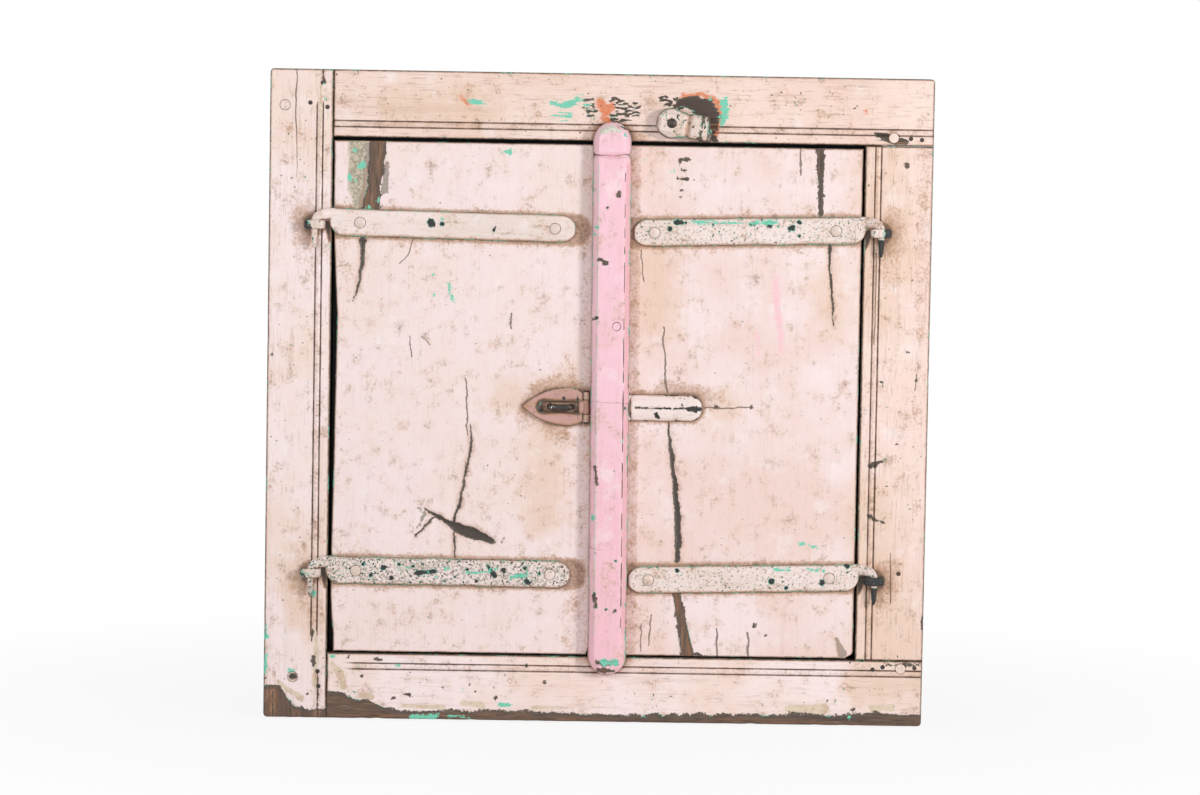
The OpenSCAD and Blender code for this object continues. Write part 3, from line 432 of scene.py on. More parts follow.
RIGHT_STILE_SCARS = [
    [(274, -62, 2), (281, -59, 1.4), (289, -56, 2.4)], [(275, -113, 1.6), (281, -117, 1.2), (288, -119, 2)],
    [(331, -214, 2.5), (331, -224, 2.5)], [(304, 239, 2.2)], [(318, 24, 0.8)], [(310, 52, 0.6)],
    [(300, -40, 0.8)],
]
# Top rail: what the button has scraped off, scars, older coats, and zones of short slanted dashes
BUTTON_ARC = [
    [(70, 291, 2), (78, 297, 4), (90, 297, 7), (101, 293, 9), (107, 284, 9), (108, 275, 7), (99, 270, 4)],
]
BUTTON_SCRAPE = [[(92, 265, 2.5), (101, 263, 3.5), (112, 261, 2.5)]]
RAIL_SCARS = [[(272, 270, 1), (281, 267, 3.5), (291, 264, 5.5), (303, 261, 2)]]
RAIL_TEAL = [
    [(121, 299, 3), (122, 288, 3), (119, 276, 2)], [(-50, 294, 1.5), (-38, 292, 2.5), (-26, 297, 1.5)],
    [(-50, 282, 1), (-32, 282, 2)], [(-21, 299, 1), (-15, 292, 1)], [(-132, 296, 0.8), (-116, 292, 0.8)],
    [(106, 302, 0.5)],
]
RAIL_ORANGE = [
    [(-3, 298, 3), (3, 287, 4), (9, 292, 2.5)], [(0, 281, 2), (7, 277, 3)],
    [(72, 291, 1), (80, 303, 2), (98, 306, 2.5), (114, 297, 3), (117, 284, 3), (113, 270, 2)],
    [(-142, 300, 0.8), (-134, 293, 1.4)], [(262, 292, 1)], [(85, 268, 2), (112, 266, 3)],
]
RAIL_SCRATCHED = [
    [(12, 296, 4), (30, 290, 6), (14, 280, 5)], [(-14, 296, 3), (-10, 284, 3)], [(58, 300, 2), (74, 296, 5)],
    [(88, 266, 2), (108, 262, 4)],
]
# Bottom rail: flecks, older coats, and points (x, z) of the line below which it is bare
BOTTOM_FLECKS = [
    [(-190, -299, 1.6), (-184, -300, 1.2)], [(-182, -302, 1)], [(-150, -292, 1.2)], [(-124, -289, 1.1)],
    [(-99, -292, 1.6)], [(-98, -302, 1.2)], [(-118, -296, 0.8)], [(-68, -269, 1)], [(-49, -286, 1.2)],
    [(-44, -309, 1.2)], [(42, -295, 1.2)], [(33, -301, 1)], [(78, -298, 0.9)],
    [(-220, -264, 1.8), (-212, -265, 1.2)], [(-232, -281, 1)], [(-200, -303, 1.2)], [(236, -300, 1)],
    [(262, -308, 1.8)], [(258, -262, 1.2)], [(292, -262, 1.2), (328, -262, 1)], [(-246, -262, 1.2)],
    [(120, -276, 0.8)], [(170, -304, 1)], [(212, -292, 0.8)],
]
FOOT_TEAL = [
    [(-182, -322.5, 1.6), (-156, -322, 1.6)], [(-145, -321, 1.4), (-122, -322, 1.6)], [(258, -316, 1.6)],
    [(-92, -308, 1.2), (-84, -309, 1)], [(-236, -272, 1.2)], [(-130, -294, 0.8)], [(-196, -270, 0.8)],
    [(-262, -262, 1)],
]
FOOT_OLD = [
    [(-262, -270, 2), (-254, -280, 4), (-250, -292, 3)], [(-232, -301, 3), (-222, -303, 3)],
    [(-190, -311, 2), (-150, -312, 1.5)], [(-130, -308, 2), (-112, -309, 2.5)],
    [(196, -309, 3), (232, -308, 5)], [(280, -306, 2), (300, -306, 3)], [(-60, -311, 1.5), (-20, -311, 1)],
]
RAIL_FOOT = [
    (-268, -296), (-258, -297), (-249, -300), (-240, -305), (-225, -307), (-199, -315), (-160, -316),
    (-93, -314), (-40, -315), (8, -317), (60, -316), (108, -315), (150, -315), (199, -313), (240, -314),
    (289, -311), (331, -312),
]
# Cover strip: chips, older coats and hairlines
STRIP_WEAR = [
    [(17, 273, 1.2), (23, 270, 0.8)], [(6, 192, 2)], [(17, 204, 1.8)], [(-1, 141, 1.6), (6, 137, 2)],
    [(-3, 82, 2)], [(-2, -66, 1.4), (0, -82, 1.4)], [(17, -70, 1.3)], [(20, -160, 1)],
    [(-1, -192, 1.2), (0, -200, 1.2)], [(1, -206, 1.4)], [(11, -209, 1.4)], [(20, -210, 1.4)],
    [(4, -262, 2.5), (22, -263, 1.5)], [(5, -270, 2), (20, -271, 2)], [(27, -7, 2)],
]
STRIP_TEAL = [
    [(-3, 172, 1.8)], [(-5, 165, 0.8)], [(8, -261, 2), (22, -262, 2.5)], [(22, 264, 0.8)], [(-3, -118, 0.8)],
    [(25, -40, 0.6)], [(21, 120, 0.6)],
]
STRIP_OLD = [[(0, 267, 2.5), (9, 270, 3.5), (18, 268, 2)]]
STRIP_HAIRS = [
    [(-9, 244, 0.2), (10, 243, -0.2), (30, 244.5, 0.2)], [(-8, -1, -0.3), (31, -3, -0.2)],
    [(-6, -148, -0.2), (9, -150, -0.3)],
]
# Straps and the hasp's tail: chips and turquoise streaks
STRAP_CHIPS = [
    [(-169, 173, 3.6)], [(-158, 173, 2.2)], [(-106, 168, 2.4)], [(-108, 163, 1)],
    [(76, 178, 3.2), (80, 178, 2)], [(69, 172, 3)], [(50, 169, 2.2)], [(84, 178, 1.6)], [(112, 177, 1.8)],
    [(119, 178, 1.4)], [(149, 178, 2)], [(212, 181, 1.4)], [(231, 175, 1.6)], [(168, 177, 2.4)],
    [(176, 176, 1.8)], [(198, 180, 2.4)], [(191, 175, 3.2), (188, 174, 2)], [(198, 167, 2.2)],
    [(153, 177, 1)], [(82, -170, 2.6)], [(52, -181, 1.8)], [(177, -180, 3)], [(192, -186, 2.2)],
    [(228, -180, 2.6)], [(252, -163, 3)], [(-182, -170, 2.4)], [(-176, -176, 3), (-160, -175, 2.4)],
    [(-172, -168, 1.8)], [(-108, -168, 2), (-100, -178, 2.2)], [(-92, -172, 2.6)], [(-78, -178, 2.4)],
    [(-70, -170, 2)], [(-68, -184, 1.8)], [(-140, -180, 1.8)], [(-128, -172, 1.6)], [(-232, -168, 2)],
    [(-224, -180, 1.8)], [(-212, -172, 1.8)], [(-204, -182, 2)], [(-196, -168, 1.8)], [(-150, -184, 2)],
    [(-118, -184, 1.8)], [(-56, -176, 2)], [(-44, -172, 1.6)],
]
STRAP_TEAL = [
    [(92, 179, 1.2), (120, 178, 1.4), (150, 179, 1), (176, 180, 1.2)], [(180, -168, 0.4), (194, -168, 0.4)],
    [(214, -167, 0.3), (228, -168, 0.5)], [(-196, -172, 0.6), (-176, -170, 0.8), (-160, -180, 0.8)],
    [(-148, -172, 0.6)], [(-136, -176, 0.4), (-110, -174, 0.8), (-96, -170, 0.8)],
    [(-84, -180, 0.8), (-68, -176, 0.8)], [(-158, 178, 1)], [(-120, 176, 0.8)],
]
TAIL_CHIPS = [
    [(37, -7.5, 1), (62, -7.5, 1.4), (72, -7.3, 0.8)], [(76, -7.5, 0.9), (90, -7, 1.3)],
    [(91, -8, 2), (102, -7.5, 2.2)], [(58, -13, 1.4), (60, -17, 0.6)], [(84, -4, 0.8)],
]
# What dirt gathers round: the straps, the cover strip, the hasp and the staples; round the cover strip it
# also stands for the strip's painted shadow
STRAP_LINES = [
    [(-267, 173, 14), (-25, 169, 14)], [(-267, -175, 14), (-25, -176, 14)], [(262, 173, 14), (34, 167, 14)],
    [(262, -175, 14), (33, -180, 14)],
]
STRIP_DIRT_AND_SHADE = [[(9.9, 258, 19), (13.3, -256, 19)]]
HASP_LINE = [[(-70, -7.5, 2), (-45, -7.5, 16), (-12, -7.5, 17)], [(32, -7.5, 13), (92, -7.5, 13)]]
STAPLE_SPOTS = [[(-284.5, 170, 9)], [(-284.5, -178, 9)], [(279.5, 170, 9)], [(279.5, -178, 9)]]
# Rust that has run from the iron, and dirt rubbed in beside it
RUST_RUNS = [
    [(-300, 198, 5), (-298, 168, 9), (-292, 120, 3)], [(-300, -190, 5), (-284, -205, 7), (-276, -235, 4)],
    [(292, 190, 5), (294, 160, 9), (288, 120, 4)], [(292, -165, 5), (294, -185, 7), (287, -215, 4)],
    [(321, 255, 2), (323, 170, 4), (322, 60, 2)], [(-262, 140, 2), (-250, 118, 3)],
    [(-74, -24, 4), (-58, 10, 4), (-30, 18, 3)], [(-45, -33, 4), (-22, -50, 2)],
    [(60, 250, 2), (30, 262, 3)], [(258, 236, 2), (262, 262, 4)], [(-320, 270, 1), (-300, 262, 1)],
    [(-22, -214, 8), (-18, -250, 7)], [(40, -220, 8), (37, -250, 6)], [(120, 4, 3), (70, 12, 4)],
    [(-272, 296, 2), (-240, 290, 1)],
]
# The darkest marks, painted shade together with dirt, in the hollows under the goosenecks beside the pintles
SHADED_HOLLOWS = [
    [(-272, 171, 1.5), (-269, 164, 2.2), (-268.5, 156, 1)],
    [(-272, -176, 1.5), (-269, -183, 2.2), (-268.5, -191, 1)],
    [(267, 171, 1.2), (264.5, 163, 2.2), (263.5, 157, 1)],
    [(267, -176, 1.2), (264.5, -184, 2.2), (263.5, -190, 1)],
]
# Where the pink has gone tan
TAN_CLOUDS = [
    [(-46, 0, 3), (-52, -60, 4), (-56, -120, 2)], [(-86, 2, 2)], [(-298, -170, 2), (-288, -225, 2)],
    [(278, 235, 8), (290, 150, 12), (276, 90, 4)], [(272, -90, 4), (284, -180, 12), (300, -245, 14)],
    [(45, 150, 4), (60, 80, 2)], [(230, 120, 1), (236, 90, 1)], [(-200, 292, 2), (-120, 285, 2)],
    [(120, -8, 3)], [(270, -285, 2), (320, -270, 3)],
]

# Gap between the left leaf and its stile, as height and width: a wedge that the sagging leaf has opened
HINGE_GAP = (
    (-262, 6), (-238, 5.8), (-222, 4), (-200, 3), (-150, 3), (-80, 4.2), (0, 5), (80, 6), (118, 4),
    (150, 2.4), (188, 1.3), (260, 1.2),
)
# Each hinge: its side and row, which way it runs, its length, its droop in degrees and how speckled it is
HINGES = (
    ("left", "upper", 1, 260.0, 0.8, 0.1), ("left", "lower", 1, 260.0, 0.3, 0.95),
    ("right", "upper", -1, 247.0, 1.5, 0.6), ("right", "lower", -1, 247.0, 1.4, 0.6),
)
# Points of the gooseneck from the strap to the pintle's foot: along, out, up, half-width and half-thickness
GOOSENECK = (
    (26, 2.4, 8.4, 1.2, 0.8), (20, 2.4, 8.6, 4.8, 1.9), (14.5, 2.9, 8.6, 5.2, 2.2), (9, 4.6, 7.8, 5.1, 3.0),
    (4, 6.4, 6.3, 4.6, 3.4), (1.2, 7.0, 3.6, 3.8, 3.35), (0, 7.0, 0, 3.4, 3.3), (0, 7.0, -6, 3.2, 3.2),
    (0, 7.0, -14, 2.9, 2.9), (0, 7.0, -22, 2.3, 2.3), (0, 7.0, -26.4, 0.8, 0.8),
)
# Each staple: its side and row, how far from bare it is, and how that grows per mm towards +X
STAPLES = (
    ("left", "upper", 2.6, 0.7), ("left", "lower", 0.4, 0.25), ("right", "upper", 0.6, -0.6),
    ("right", "lower", -2.2, 0.0),
)
# Points of a staple's bar round the pintle: along, out, up and half-thickness
STAPLE_BAR = (
    (-7.2, -2, 0, 3.1), (-7.2, 3, 0, 3.1), (-7.1, 8, 0, 3.1), (-6.3, 11.4, 0, 2.3), (-3, 12.35, 0, 1.6),
    (3, 12.35, 0, 1.6), (6.3, 11.4, 0, 2.3), (7.1, 8, 0, 3.1), (7.2, 3, 0, 3.1), (7.2, -2, 0, 3.1),
)


def halo(x, z, strokes):
    """Dirt round a shape: dark right against it, fainter and wider behind, as the sum of two bell curves
    (round the cover strip this is painted shadow as well); rust run down from the hinges and the hasp; and
    the darkest painted shade, with dirt, in the hollows under the goosenecks."""
    against = 0.75 * beside(x, z, strokes, 2.6) + 0.4 * beside(x, z, strokes, 13.0)
    return against + 0.5 * beside(x, z, RUST_RUNS, 9.0) + 2.8 * beside(x, z, SHADED_HOLLOWS, 1.6)


def wear_fields(bare=(), teal=(), dirt=(), stain=(), speck=0.0, foot=None, old=(), fleck=()):
    """The fields a painted piece carries: closeness to the nearest bare, turquoise, stained and old-paint
    patch, dirt, tan clouds from 0 to 1, and how thickly it is speckled and scratched."""

    def closeness(x, z, strokes):
        gap = reach(x, z, strokes)
        return FAR - np.clip(np.where(gap < 0, gap * 2.2, gap), -20, FAR) if strokes else np.zeros(x.shape)

    def bare_field(x, z):
        near = closeness(x, z, bare)
        if foot:
            line_x, line_z = np.array(foot).T
            near = np.maximum(near, FAR - np.clip(z - np.interp(x, line_x, line_z), -20, FAR))
        return near

    return {
        "bare": bare_field,
        "teal": lambda x, z: closeness(x, z, teal),
        "stain": lambda x, z: closeness(x, z, stain),
        "old": lambda x, z: closeness(x, z, old),
        "dirt": lambda x, z: halo(x, z, dirt) if dirt else np.zeros(x.shape),
        "tan": lambda x, z: beside(x, z, TAN_CLOUDS, 24.0) if dirt else np.zeros(x.shape),
        "speck": lambda x, z: np.full(x.shape, speck),
        "fleck": lambda x, z: beside(x, z, fleck, 4.0) if fleck else np.zeros(x.shape),
    }


FIELDS = ("edge", "bare", "teal", "stain", "old", "dirt", "tan", "speck", "fleck", "groove")


def groove(x, z, strokes, depth):
    """A V-shaped groove along strokes, full depth on their middle line and out at their rim."""
    return depth * np.clip(-reach(x, z, strokes) + 0.6, 0, 3) / 2.0


# ---------- Materials ----------

MATH, RANGE, MIX, NOISE, VECTOR = (
    "ShaderNodeMath", "ShaderNodeMapRange", "ShaderNodeMix", "ShaderNodeTexNoise", "ShaderNodeVectorMath"
)


def add(tree, kind, inputs=(), **settings):
    """Adds a node, sets its properties, and sets each input, named or in order, to a value or links it to a
    node or socket."""
    node = tree.nodes.new(kind)
    for key, value in settings.items():
        setattr(node, key, value)
    for key, value in inputs.items() if isinstance(inputs, dict) else enumerate(inputs):
        if isinstance(value, bpy.types.Node):
            tree.links.new(value.outputs[0], node.inputs[key])
        elif isinstance(value, bpy.types.NodeSocket):
            tree.links.new(value, node.inputs[key])
        else:
            node.inputs[key].default_value = value
    return node


def per_metre(millimetres):
    """Texture scale at which a pattern's features are about that size."""
    return 1000 / millimetres


def new_material(name):
    """An empty node material, its tree, its shader and its place coordinates."""
    material = bpy.data.materials.new(name)
    material.use_nodes = True
    tree = material.node_tree
    tree.nodes.clear()
    shader = add(tree, "ShaderNodeBsdfPrincipled")
    add(tree, "ShaderNodeOutputMaterial", {"Surface": shader})
    return material, tree, shader, add(tree, "ShaderNodeTexCoord").outputs["Object"]


def roughened(tree, distance, *rows):
    """A distance whose contour is ragged: to it is added each pattern, less its middle value, times its
    reach in mm."""
    for pattern, reach_mm in rows:
        distance = add(tree, MATH, (pattern, reach_mm, distance), operation="MULTIPLY_ADD")
    return add(tree, MATH, (distance, sum(reach_mm for _, reach_mm in rows) / 2), operation="SUBTRACT")


def coats(tree, colour, *rows):
    """Lays colours over a colour. Each row is a value, where on it the new colour starts and where it is
    full, how much it covers there, and the new colour."""
    for value, start, full, cover, over in rows:
        share = add(
            tree, RANGE, {"Value": value, "From Min": start, "From Max": full, "To Max": cover},
            interpolation_type="SMOOTHSTEP",
        )
        colour = add(tree, MIX, {0: share, 6: colour, 7: over}, data_type="RGBA").outputs[2]
    return colour


def finish(tree, shader, colour, height, depth_mm, **values):
    """Links a colour, a bump of that depth and what else the shader needs."""
    links = {"Base Color": colour, **values}
    if depth_mm:
        bump = {"Height": height, "Distance": depth_mm * MM, "Strength": 0.8}
        links["Normal"] = add(tree, "ShaderNodeBump", bump)
    for key, value in links.items():
        tree.links.new(value.outputs[0] if isinstance(value, bpy.types.Node) else value, shader.inputs[key])


def stroke_group():
    """Node group: distance in mm from a point to a tapering line, less the line's half-width, negative
    inside."""
    name = "Tapering line"
    if name in bpy.data.node_groups:
        return bpy.data.node_groups[name]
    tree = bpy.data.node_groups.new(name, "ShaderNodeTree")
    for label, kind in (
        ("Point", "Vector"), ("Start", "Vector"), ("Run", "Vector"), ("Scaled run", "Vector"),
        ("Half-width", "Float"), ("Widening", "Float"),
    ):
        tree.interface.new_socket(label, in_out="INPUT", socket_type="NodeSocket" + kind)
    tree.interface.new_socket("Distance", in_out="OUTPUT", socket_type="NodeSocketFloat")
    point, start, run, scaled, half, widening = list(add(tree, "NodeGroupInput").outputs)[:6]
    away = add(tree, VECTOR, (point, start), operation="SUBTRACT")
    dot = add(tree, VECTOR, (away, scaled), operation="DOT_PRODUCT").outputs["Value"]
    along = add(tree, MATH, (dot, 0.0), operation="ADD", use_clamp=True)
    foot = add(tree, VECTOR, {0: run, "Scale": along}, operation="SCALE")
    gap = add(tree, VECTOR, (away, foot), operation="DISTANCE").outputs["Value"]
    width = add(tree, MATH, (along, widening, half), operation="MULTIPLY_ADD")
    add(tree, "NodeGroupOutput", (add(tree, MATH, (gap, width), operation="SUBTRACT"),))
    return tree


def line_field(tree, point, strokes):
    """Distance in mm to the nearest of some strokes, worked out in the shader so that thin cracks stay
    sharp."""
    group, nearest = stroke_group(), FAR
    for stroke in strokes:
        for (x0, z0, w0), (x1, z1, w1) in zip(stroke, stroke[1:] or stroke):
            run = np.array([x1 - x0, 0, z1 - z0], float)
            scaled = run / max(run @ run, 1e-6)
            line = add(tree, "ShaderNodeGroup", node_tree=group)
            tree.links.new(point, line.inputs["Point"])
            for key, value in zip(("Start", "Run", "Scaled run"), ((x0, 0, z0), run, scaled)):
                line.inputs[key].default_value = value
            line.inputs["Half-width"].default_value, line.inputs["Widening"].default_value = w0, w1 - w0
            nearest = add(tree, MATH, (nearest, line), operation="MINIMUM")
    return nearest


def painted(
    name, coat, blush, grain, base="wood", cracks=(), hairs=(), rings=(), gloss=0.42, chips=1.0, specks=1.0,
    teal_share=0.2, grit=1.0, lined=1.0, dry=0.15, wander=7.0, stains=("#C9BCA3", "#8F8B76"), wood=None,
    old_tone=None, outlined=1.0, flake=3.4, seed=0.0,
):
    """Old oil paint, brushed thickly over a turquoise layer on wood or iron. The top coat has blushes,
    stains, brush streaks, fine veins, dirt, and painted shade carried by the dirt and groove fields; it is
    missing in patches, along chipped edges and in specks, with a rim of the older layers; cracks and
    hairlines cross it. grain is the stretch of the streaks along X, Y and Z, grit how dirty the coat is,
    lined how strongly the grain shows through it, dry how far patches break up into brush streaks, outlined
    how dark dirt has made the worn edges, wander how far cracks stray and flake how large the specks are,
    both in mm."""
    paint = bpy.context.scene.shutter_paint
    material, tree, shader, place = new_material(name)
    here = add(tree, VECTOR, (place, (seed, seed * 0.7, seed * 1.3)), operation="ADD")
    there = add(tree, VECTOR, (here, (3.1, 1.7, 5.3)), operation="ADD")
    brushed = add(tree, VECTOR, (here, grain), operation="MULTIPLY")
    turned = {"Vector": here, "Rotation": (0, math.radians(35), 0), "Scale": (0.4, 1, 1)}
    slanted = add(tree, "ShaderNodeMapping", turned)
    # Random patterns: each row is where it is, the size of its blotches in mm, their detail and harshness
    fine, rough, broad, cloud, streak, figure, vein, dot, pore, dash = (
        add(tree, NOISE, {"Vector": where, "Scale": per_metre(size), "Detail": detail, "Roughness": harsh})
        for where, size, detail, harsh in (
            (here, 2.6, 3.0, 0.65),  # ragged rim of a flake
            (here, 14.0, 3.0, 0.6),  # outline of a patch
            (here, 110.0, 3.0, 0.55),  # sun and damp
            (there, 34.0, 4.0, 0.62),  # stains
            (brushed, 2.2, 3.0, 0.6),  # brush hairs, about 2 mm apart
            (brushed, 9.0, 3.0, 0.55),  # the boards' grain seen through the paint
            (there, 21.0, 2.0, 0.5),  # its middle value's contour is a wandering line
            (here, flake, 1.5, 0.5),  # specks
            (brushed, 1.2, 3.0, 0.6),  # pores of the wood
            (slanted, 2.7, 1.5, 0.5),  # short slanted dashes
        )
    )
    stored = {key: add(tree, "ShaderNodeAttribute", attribute_name=key).outputs["Fac"] for key in FIELDS}
    edge, bare, teal, stain, old = (
        add(tree, MATH, (FAR, stored[key]), operation="SUBTRACT")
        for key in ("edge", "bare", "teal", "stain", "old")
    )

    # Missing paint, in mm from a flake's rim: patches, chipped edges and small specks
    patch = roughened(tree, bare, (fine, 6.5), (rough, 11.0), (streak, 16.0 * dry))
    older = roughened(tree, old, (fine, 6.0), (rough, 9.0), (streak, 6.0))
    worn_here = add(
        tree, RANGE,
        {"Value": rough, "From Min": 0.46, "From Max": 0.68, "To Min": 0.25 * chips, "To Max": 2.6 * chips},
    )
    chipped = roughened(tree, add(tree, MATH, (edge, worn_here), operation="SUBTRACT"), (fine, 3.0))
    crowding = {"Value": cloud, "From Min": 0.45, "From Max": 0.65, "To Max": 0.036 * specks * grit}
    dirty = add(tree, RANGE, crowding)
    crowd = add(tree, MATH, (stored["speck"], 0.16, dirty), operation="MULTIPLY_ADD")
    crowded = add(tree, MATH, (dot, crowd), operation="ADD")
    dots = add(tree, MATH, (crowded, -22.0, 16.94), operation="MULTIPLY_ADD")
    dashes = add(tree, MATH, (stored["fleck"], 0.30, dash), operation="MULTIPLY_ADD")
    missing = add(tree, MATH, (dashes, -22.0, 17.4), operation="MULTIPLY_ADD")
    for share in (patch, chipped, dots):
        missing = add(tree, MATH, (missing, share), operation="MINIMUM")
    top_gone = add(tree, RANGE, {"Value": missing, "From Min": 0.25, "From Max": -0.2})
    worn_thin = add(tree, RANGE, {"Value": older, "From Min": 0.4, "From Max": -0.4})
    deep = add(tree, RANGE, {"Value": missing, "From Min": -0.4, "From Max": -1.0})

    # The top coat: a row is a value, where its colour starts and is full, how much it covers, and the colour
    # The dirt field carries dirt and also painted shade: beside the cover strip, along the lower edges of
    # straps and hasp plate, and in the hollows under the goosenecks
    dirt_and_shade = roughened(tree, stored["dirt"], (fine, 1.1), (rough, 0.7))
    tanned = roughened(tree, stored["tan"], (cloud, 0.9), (rough, 0.7), (fine, 0.5))
    mottled = add(tree, MATH, (rough, cloud), operation="ADD")
    smudge = add(tree, MATH, (fine, 0.8, mottled), operation="MULTIPLY_ADD")
    off_middle = add(tree, MATH, (vein, 0.5), operation="SUBTRACT")
    contour = add(tree, MATH, (off_middle,), operation="ABSOLUTE")
    veined = add(tree, MATH, (rough, -0.06, contour), operation="MULTIPLY_ADD")
    streaky = add(tree, MATH, (cloud, 0.6, streak), operation="MULTIPLY_ADD")
    rim = roughened(tree, edge, (fine, 1.6), (rough, 1.4))
    groove_grime_and_shade = roughened(tree, stored["groove"], (fine, 1.0), (rough, 2.0), (streak, 0.8))
    is_wood = base == "wood"
    top = coats(
        tree, coat,
        (broad, 0.38, 0.62, 1.0, blush),
        (tanned, 0.05, 1.1, 0.6, paint.stain),
        (cloud, 0.44, 0.26, 0.5, paint.bloom),
        (figure, 0.52, 0.78, 0.16 * lined, paint.grime),
        (streaky, 0.85, 1.05, 0.22 * lined, paint.grime),
        (pore, 0.56, 0.72, 0.22 * lined, paint.soot),
        (smudge, 1.34, 1.66, 0.22, paint.stain),
        (smudge, 1.50, 1.86, 0.6 * grit, paint.grime),
        (veined, -0.032, -0.040, 0.55, paint.grime),
        (dirt_and_shade, 0.30, 0.95, 0.75, paint.grime),
        (dirt_and_shade, 0.8, 1.5, 0.75, paint.soot),
        (dirt_and_shade, 1.5, 2.2, 0.9, paint.crack),
        # Grime and painted shade in the bead's grooves
        (groove_grime_and_shade, 0.1, 1.1, 0.7, paint.soot),
        (groove_grime_and_shade, 1.2, 1.9, 0.7, paint.crack),
        (rim, 2.6, 1.0, 0.55 * outlined, paint.grime),
        (rim, 1.5, 0.6, 0.8 * outlined, paint.soot),
        (edge, 0.9, 0.3, 0.8 * outlined, paint.crack),
    )
    if not is_wood:
        peppered = add(tree, MATH, (stored["speck"], 0.22, fine), operation="MULTIPLY_ADD")
        top = coats(tree, top, (peppered, 0.66, 0.84, 0.6, linear("#83796A")))

    # Under it: an old cream and a turquoise layer, then wood or iron
    pick = add(tree, MATH, (cloud, 1.5, rough), operation="MULTIPLY_ADD")
    teal_from = 1.45 - 0.4 * teal_share
    old_coat = linear(old_tone) if old_tone else paint.old_cream
    thinned = coats(
        tree, old_coat, (fine, 0.52, 0.66, 0.4, paint.old_grey), (cloud, 0.48, 0.60, 0.4, paint.grime)
    )
    layers = coats(
        tree, paint.old_grey,
        (fine, 0.54, 0.60, 0.6, paint.old_cream),
        (pick, teal_from, teal_from + 0.1, 1.0, paint.under),
    )
    if is_wood:
        under = coats(
            tree, wood or paint.wood,
            (figure, 0.50, 0.62, 0.8, linear("#8C6449")),
            (figure, 0.46, 0.34, 0.8, linear("#4A3A31")),
            (streak, 0.58, 0.72, 0.45, linear("#A48C78")),
            (missing, -5.0, -2.5, 0.7, linear("#57504A")),
            (pore, 0.5, 0.62, 0.7, paint.crack),
        )
    else:
        under = coats(tree, paint.iron, (fine, 0.4, 0.7, 1.0, linear("#4A4540")))
    turquoise = coats(tree, paint.under, (fine, 0.50, 0.62, 0.8, linear("#8FB9A0")))
    stained = coats(tree, linear(stains[0]), (fine, 0.42, 0.6, 1.0, linear(stains[1])))
    stain_patch = roughened(tree, stain, (fine, 7.0), (rough, 12.0), (streak, 7.0))
    teal_patch = roughened(tree, teal, (fine, 10.0), (rough, 11.0), (streak, 7.0 + 12.0 * dry))
    colour = coats(
        tree, top,
        (stain_patch, 3.0, -2.5, 0.9, stained),
        (worn_thin, 0.0, 1.0, 0.9, thinned),
        (top_gone, 0.0, 1.0, 1.0, layers),
        (deep, 0.0, 1.0, 1.0, under),
        (teal_patch, 0.4, -0.4, 1.0, turquoise),
    )
    relief = add(tree, MATH, (deep, -0.6, 1.0), operation="MULTIPLY_ADD")
    relief = add(tree, MATH, (top_gone, -0.4, relief), operation="MULTIPLY_ADD")
    relief = add(tree, MATH, (worn_thin, -0.3, relief), operation="MULTIPLY_ADD")

    point = add(tree, VECTOR, (place, (1000, 0, 1000)), operation="MULTIPLY")
    shake = add(tree, VECTOR, (rough.outputs["Color"], (0.5, 0.5, 0.5)), operation="SUBTRACT")
    bent = add(tree, VECTOR, (shake, (wander, 0, wander * 0.7), point), operation="MULTIPLY_ADD").outputs[0]
    if cracks:
        gap = roughened(tree, line_field(tree, bent, cracks), (fine, 3.4), (rough, 1.6))
        dusty = roughened(tree, gap, (rough, 14.0), (fine, 5.0))
        inner = roughened(tree, gap, (streak, 3.0))
        colour = coats(
            tree, colour, (dusty, 4.0, -1.0, 0.5, paint.grime), (gap, 0.55, 0.0, 1.0, linear("#675D54")),
            (inner, -0.3, -1.1, 0.9, paint.crack),
        )
        sunk = add(tree, RANGE, {"Value": gap, "From Min": 0.5, "From Max": -0.4})
        relief = add(tree, MATH, (relief, sunk), operation="SUBTRACT")
    if hairs or rings:
        thin = line_field(tree, bent, hairs)
        for x, z, radius in rings:
            away = add(tree, VECTOR, (point, (x, 0, z)), operation="DISTANCE").outputs["Value"]
            off_ring = add(tree, MATH, (away, radius), operation="SUBTRACT")
            ring = add(tree, MATH, (off_ring,), operation="ABSOLUTE")
            thin = add(tree, MATH, (thin, ring), operation="MINIMUM")
        thin = roughened(tree, thin, (fine, 1.2))
        colour = coats(tree, colour, (thin, 0.6, 0.1, 0.85, linear("#6F5D50")))
        sunk = add(tree, RANGE, {"Value": thin, "From Min": 0.6, "From Max": 0.1, "To Max": 0.6})
        relief = add(tree, MATH, (relief, sunk), operation="SUBTRACT")

    height = roughened(tree, relief, (streak, 0.16), (fine, 0.16), (rough, 0.3))
    dull = add(tree, MATH, (top_gone, 0.25, gloss), operation="MULTIPLY_ADD")
    values = {"Roughness": roughened(tree, dull, (streak, 0.16), (fine, 0.1))}
    if not is_wood:
        values["Metallic"] = add(tree, MATH, (deep, 0.6), operation="MULTIPLY")
    finish(tree, shader, colour, height, 0.9, **values)
    return material


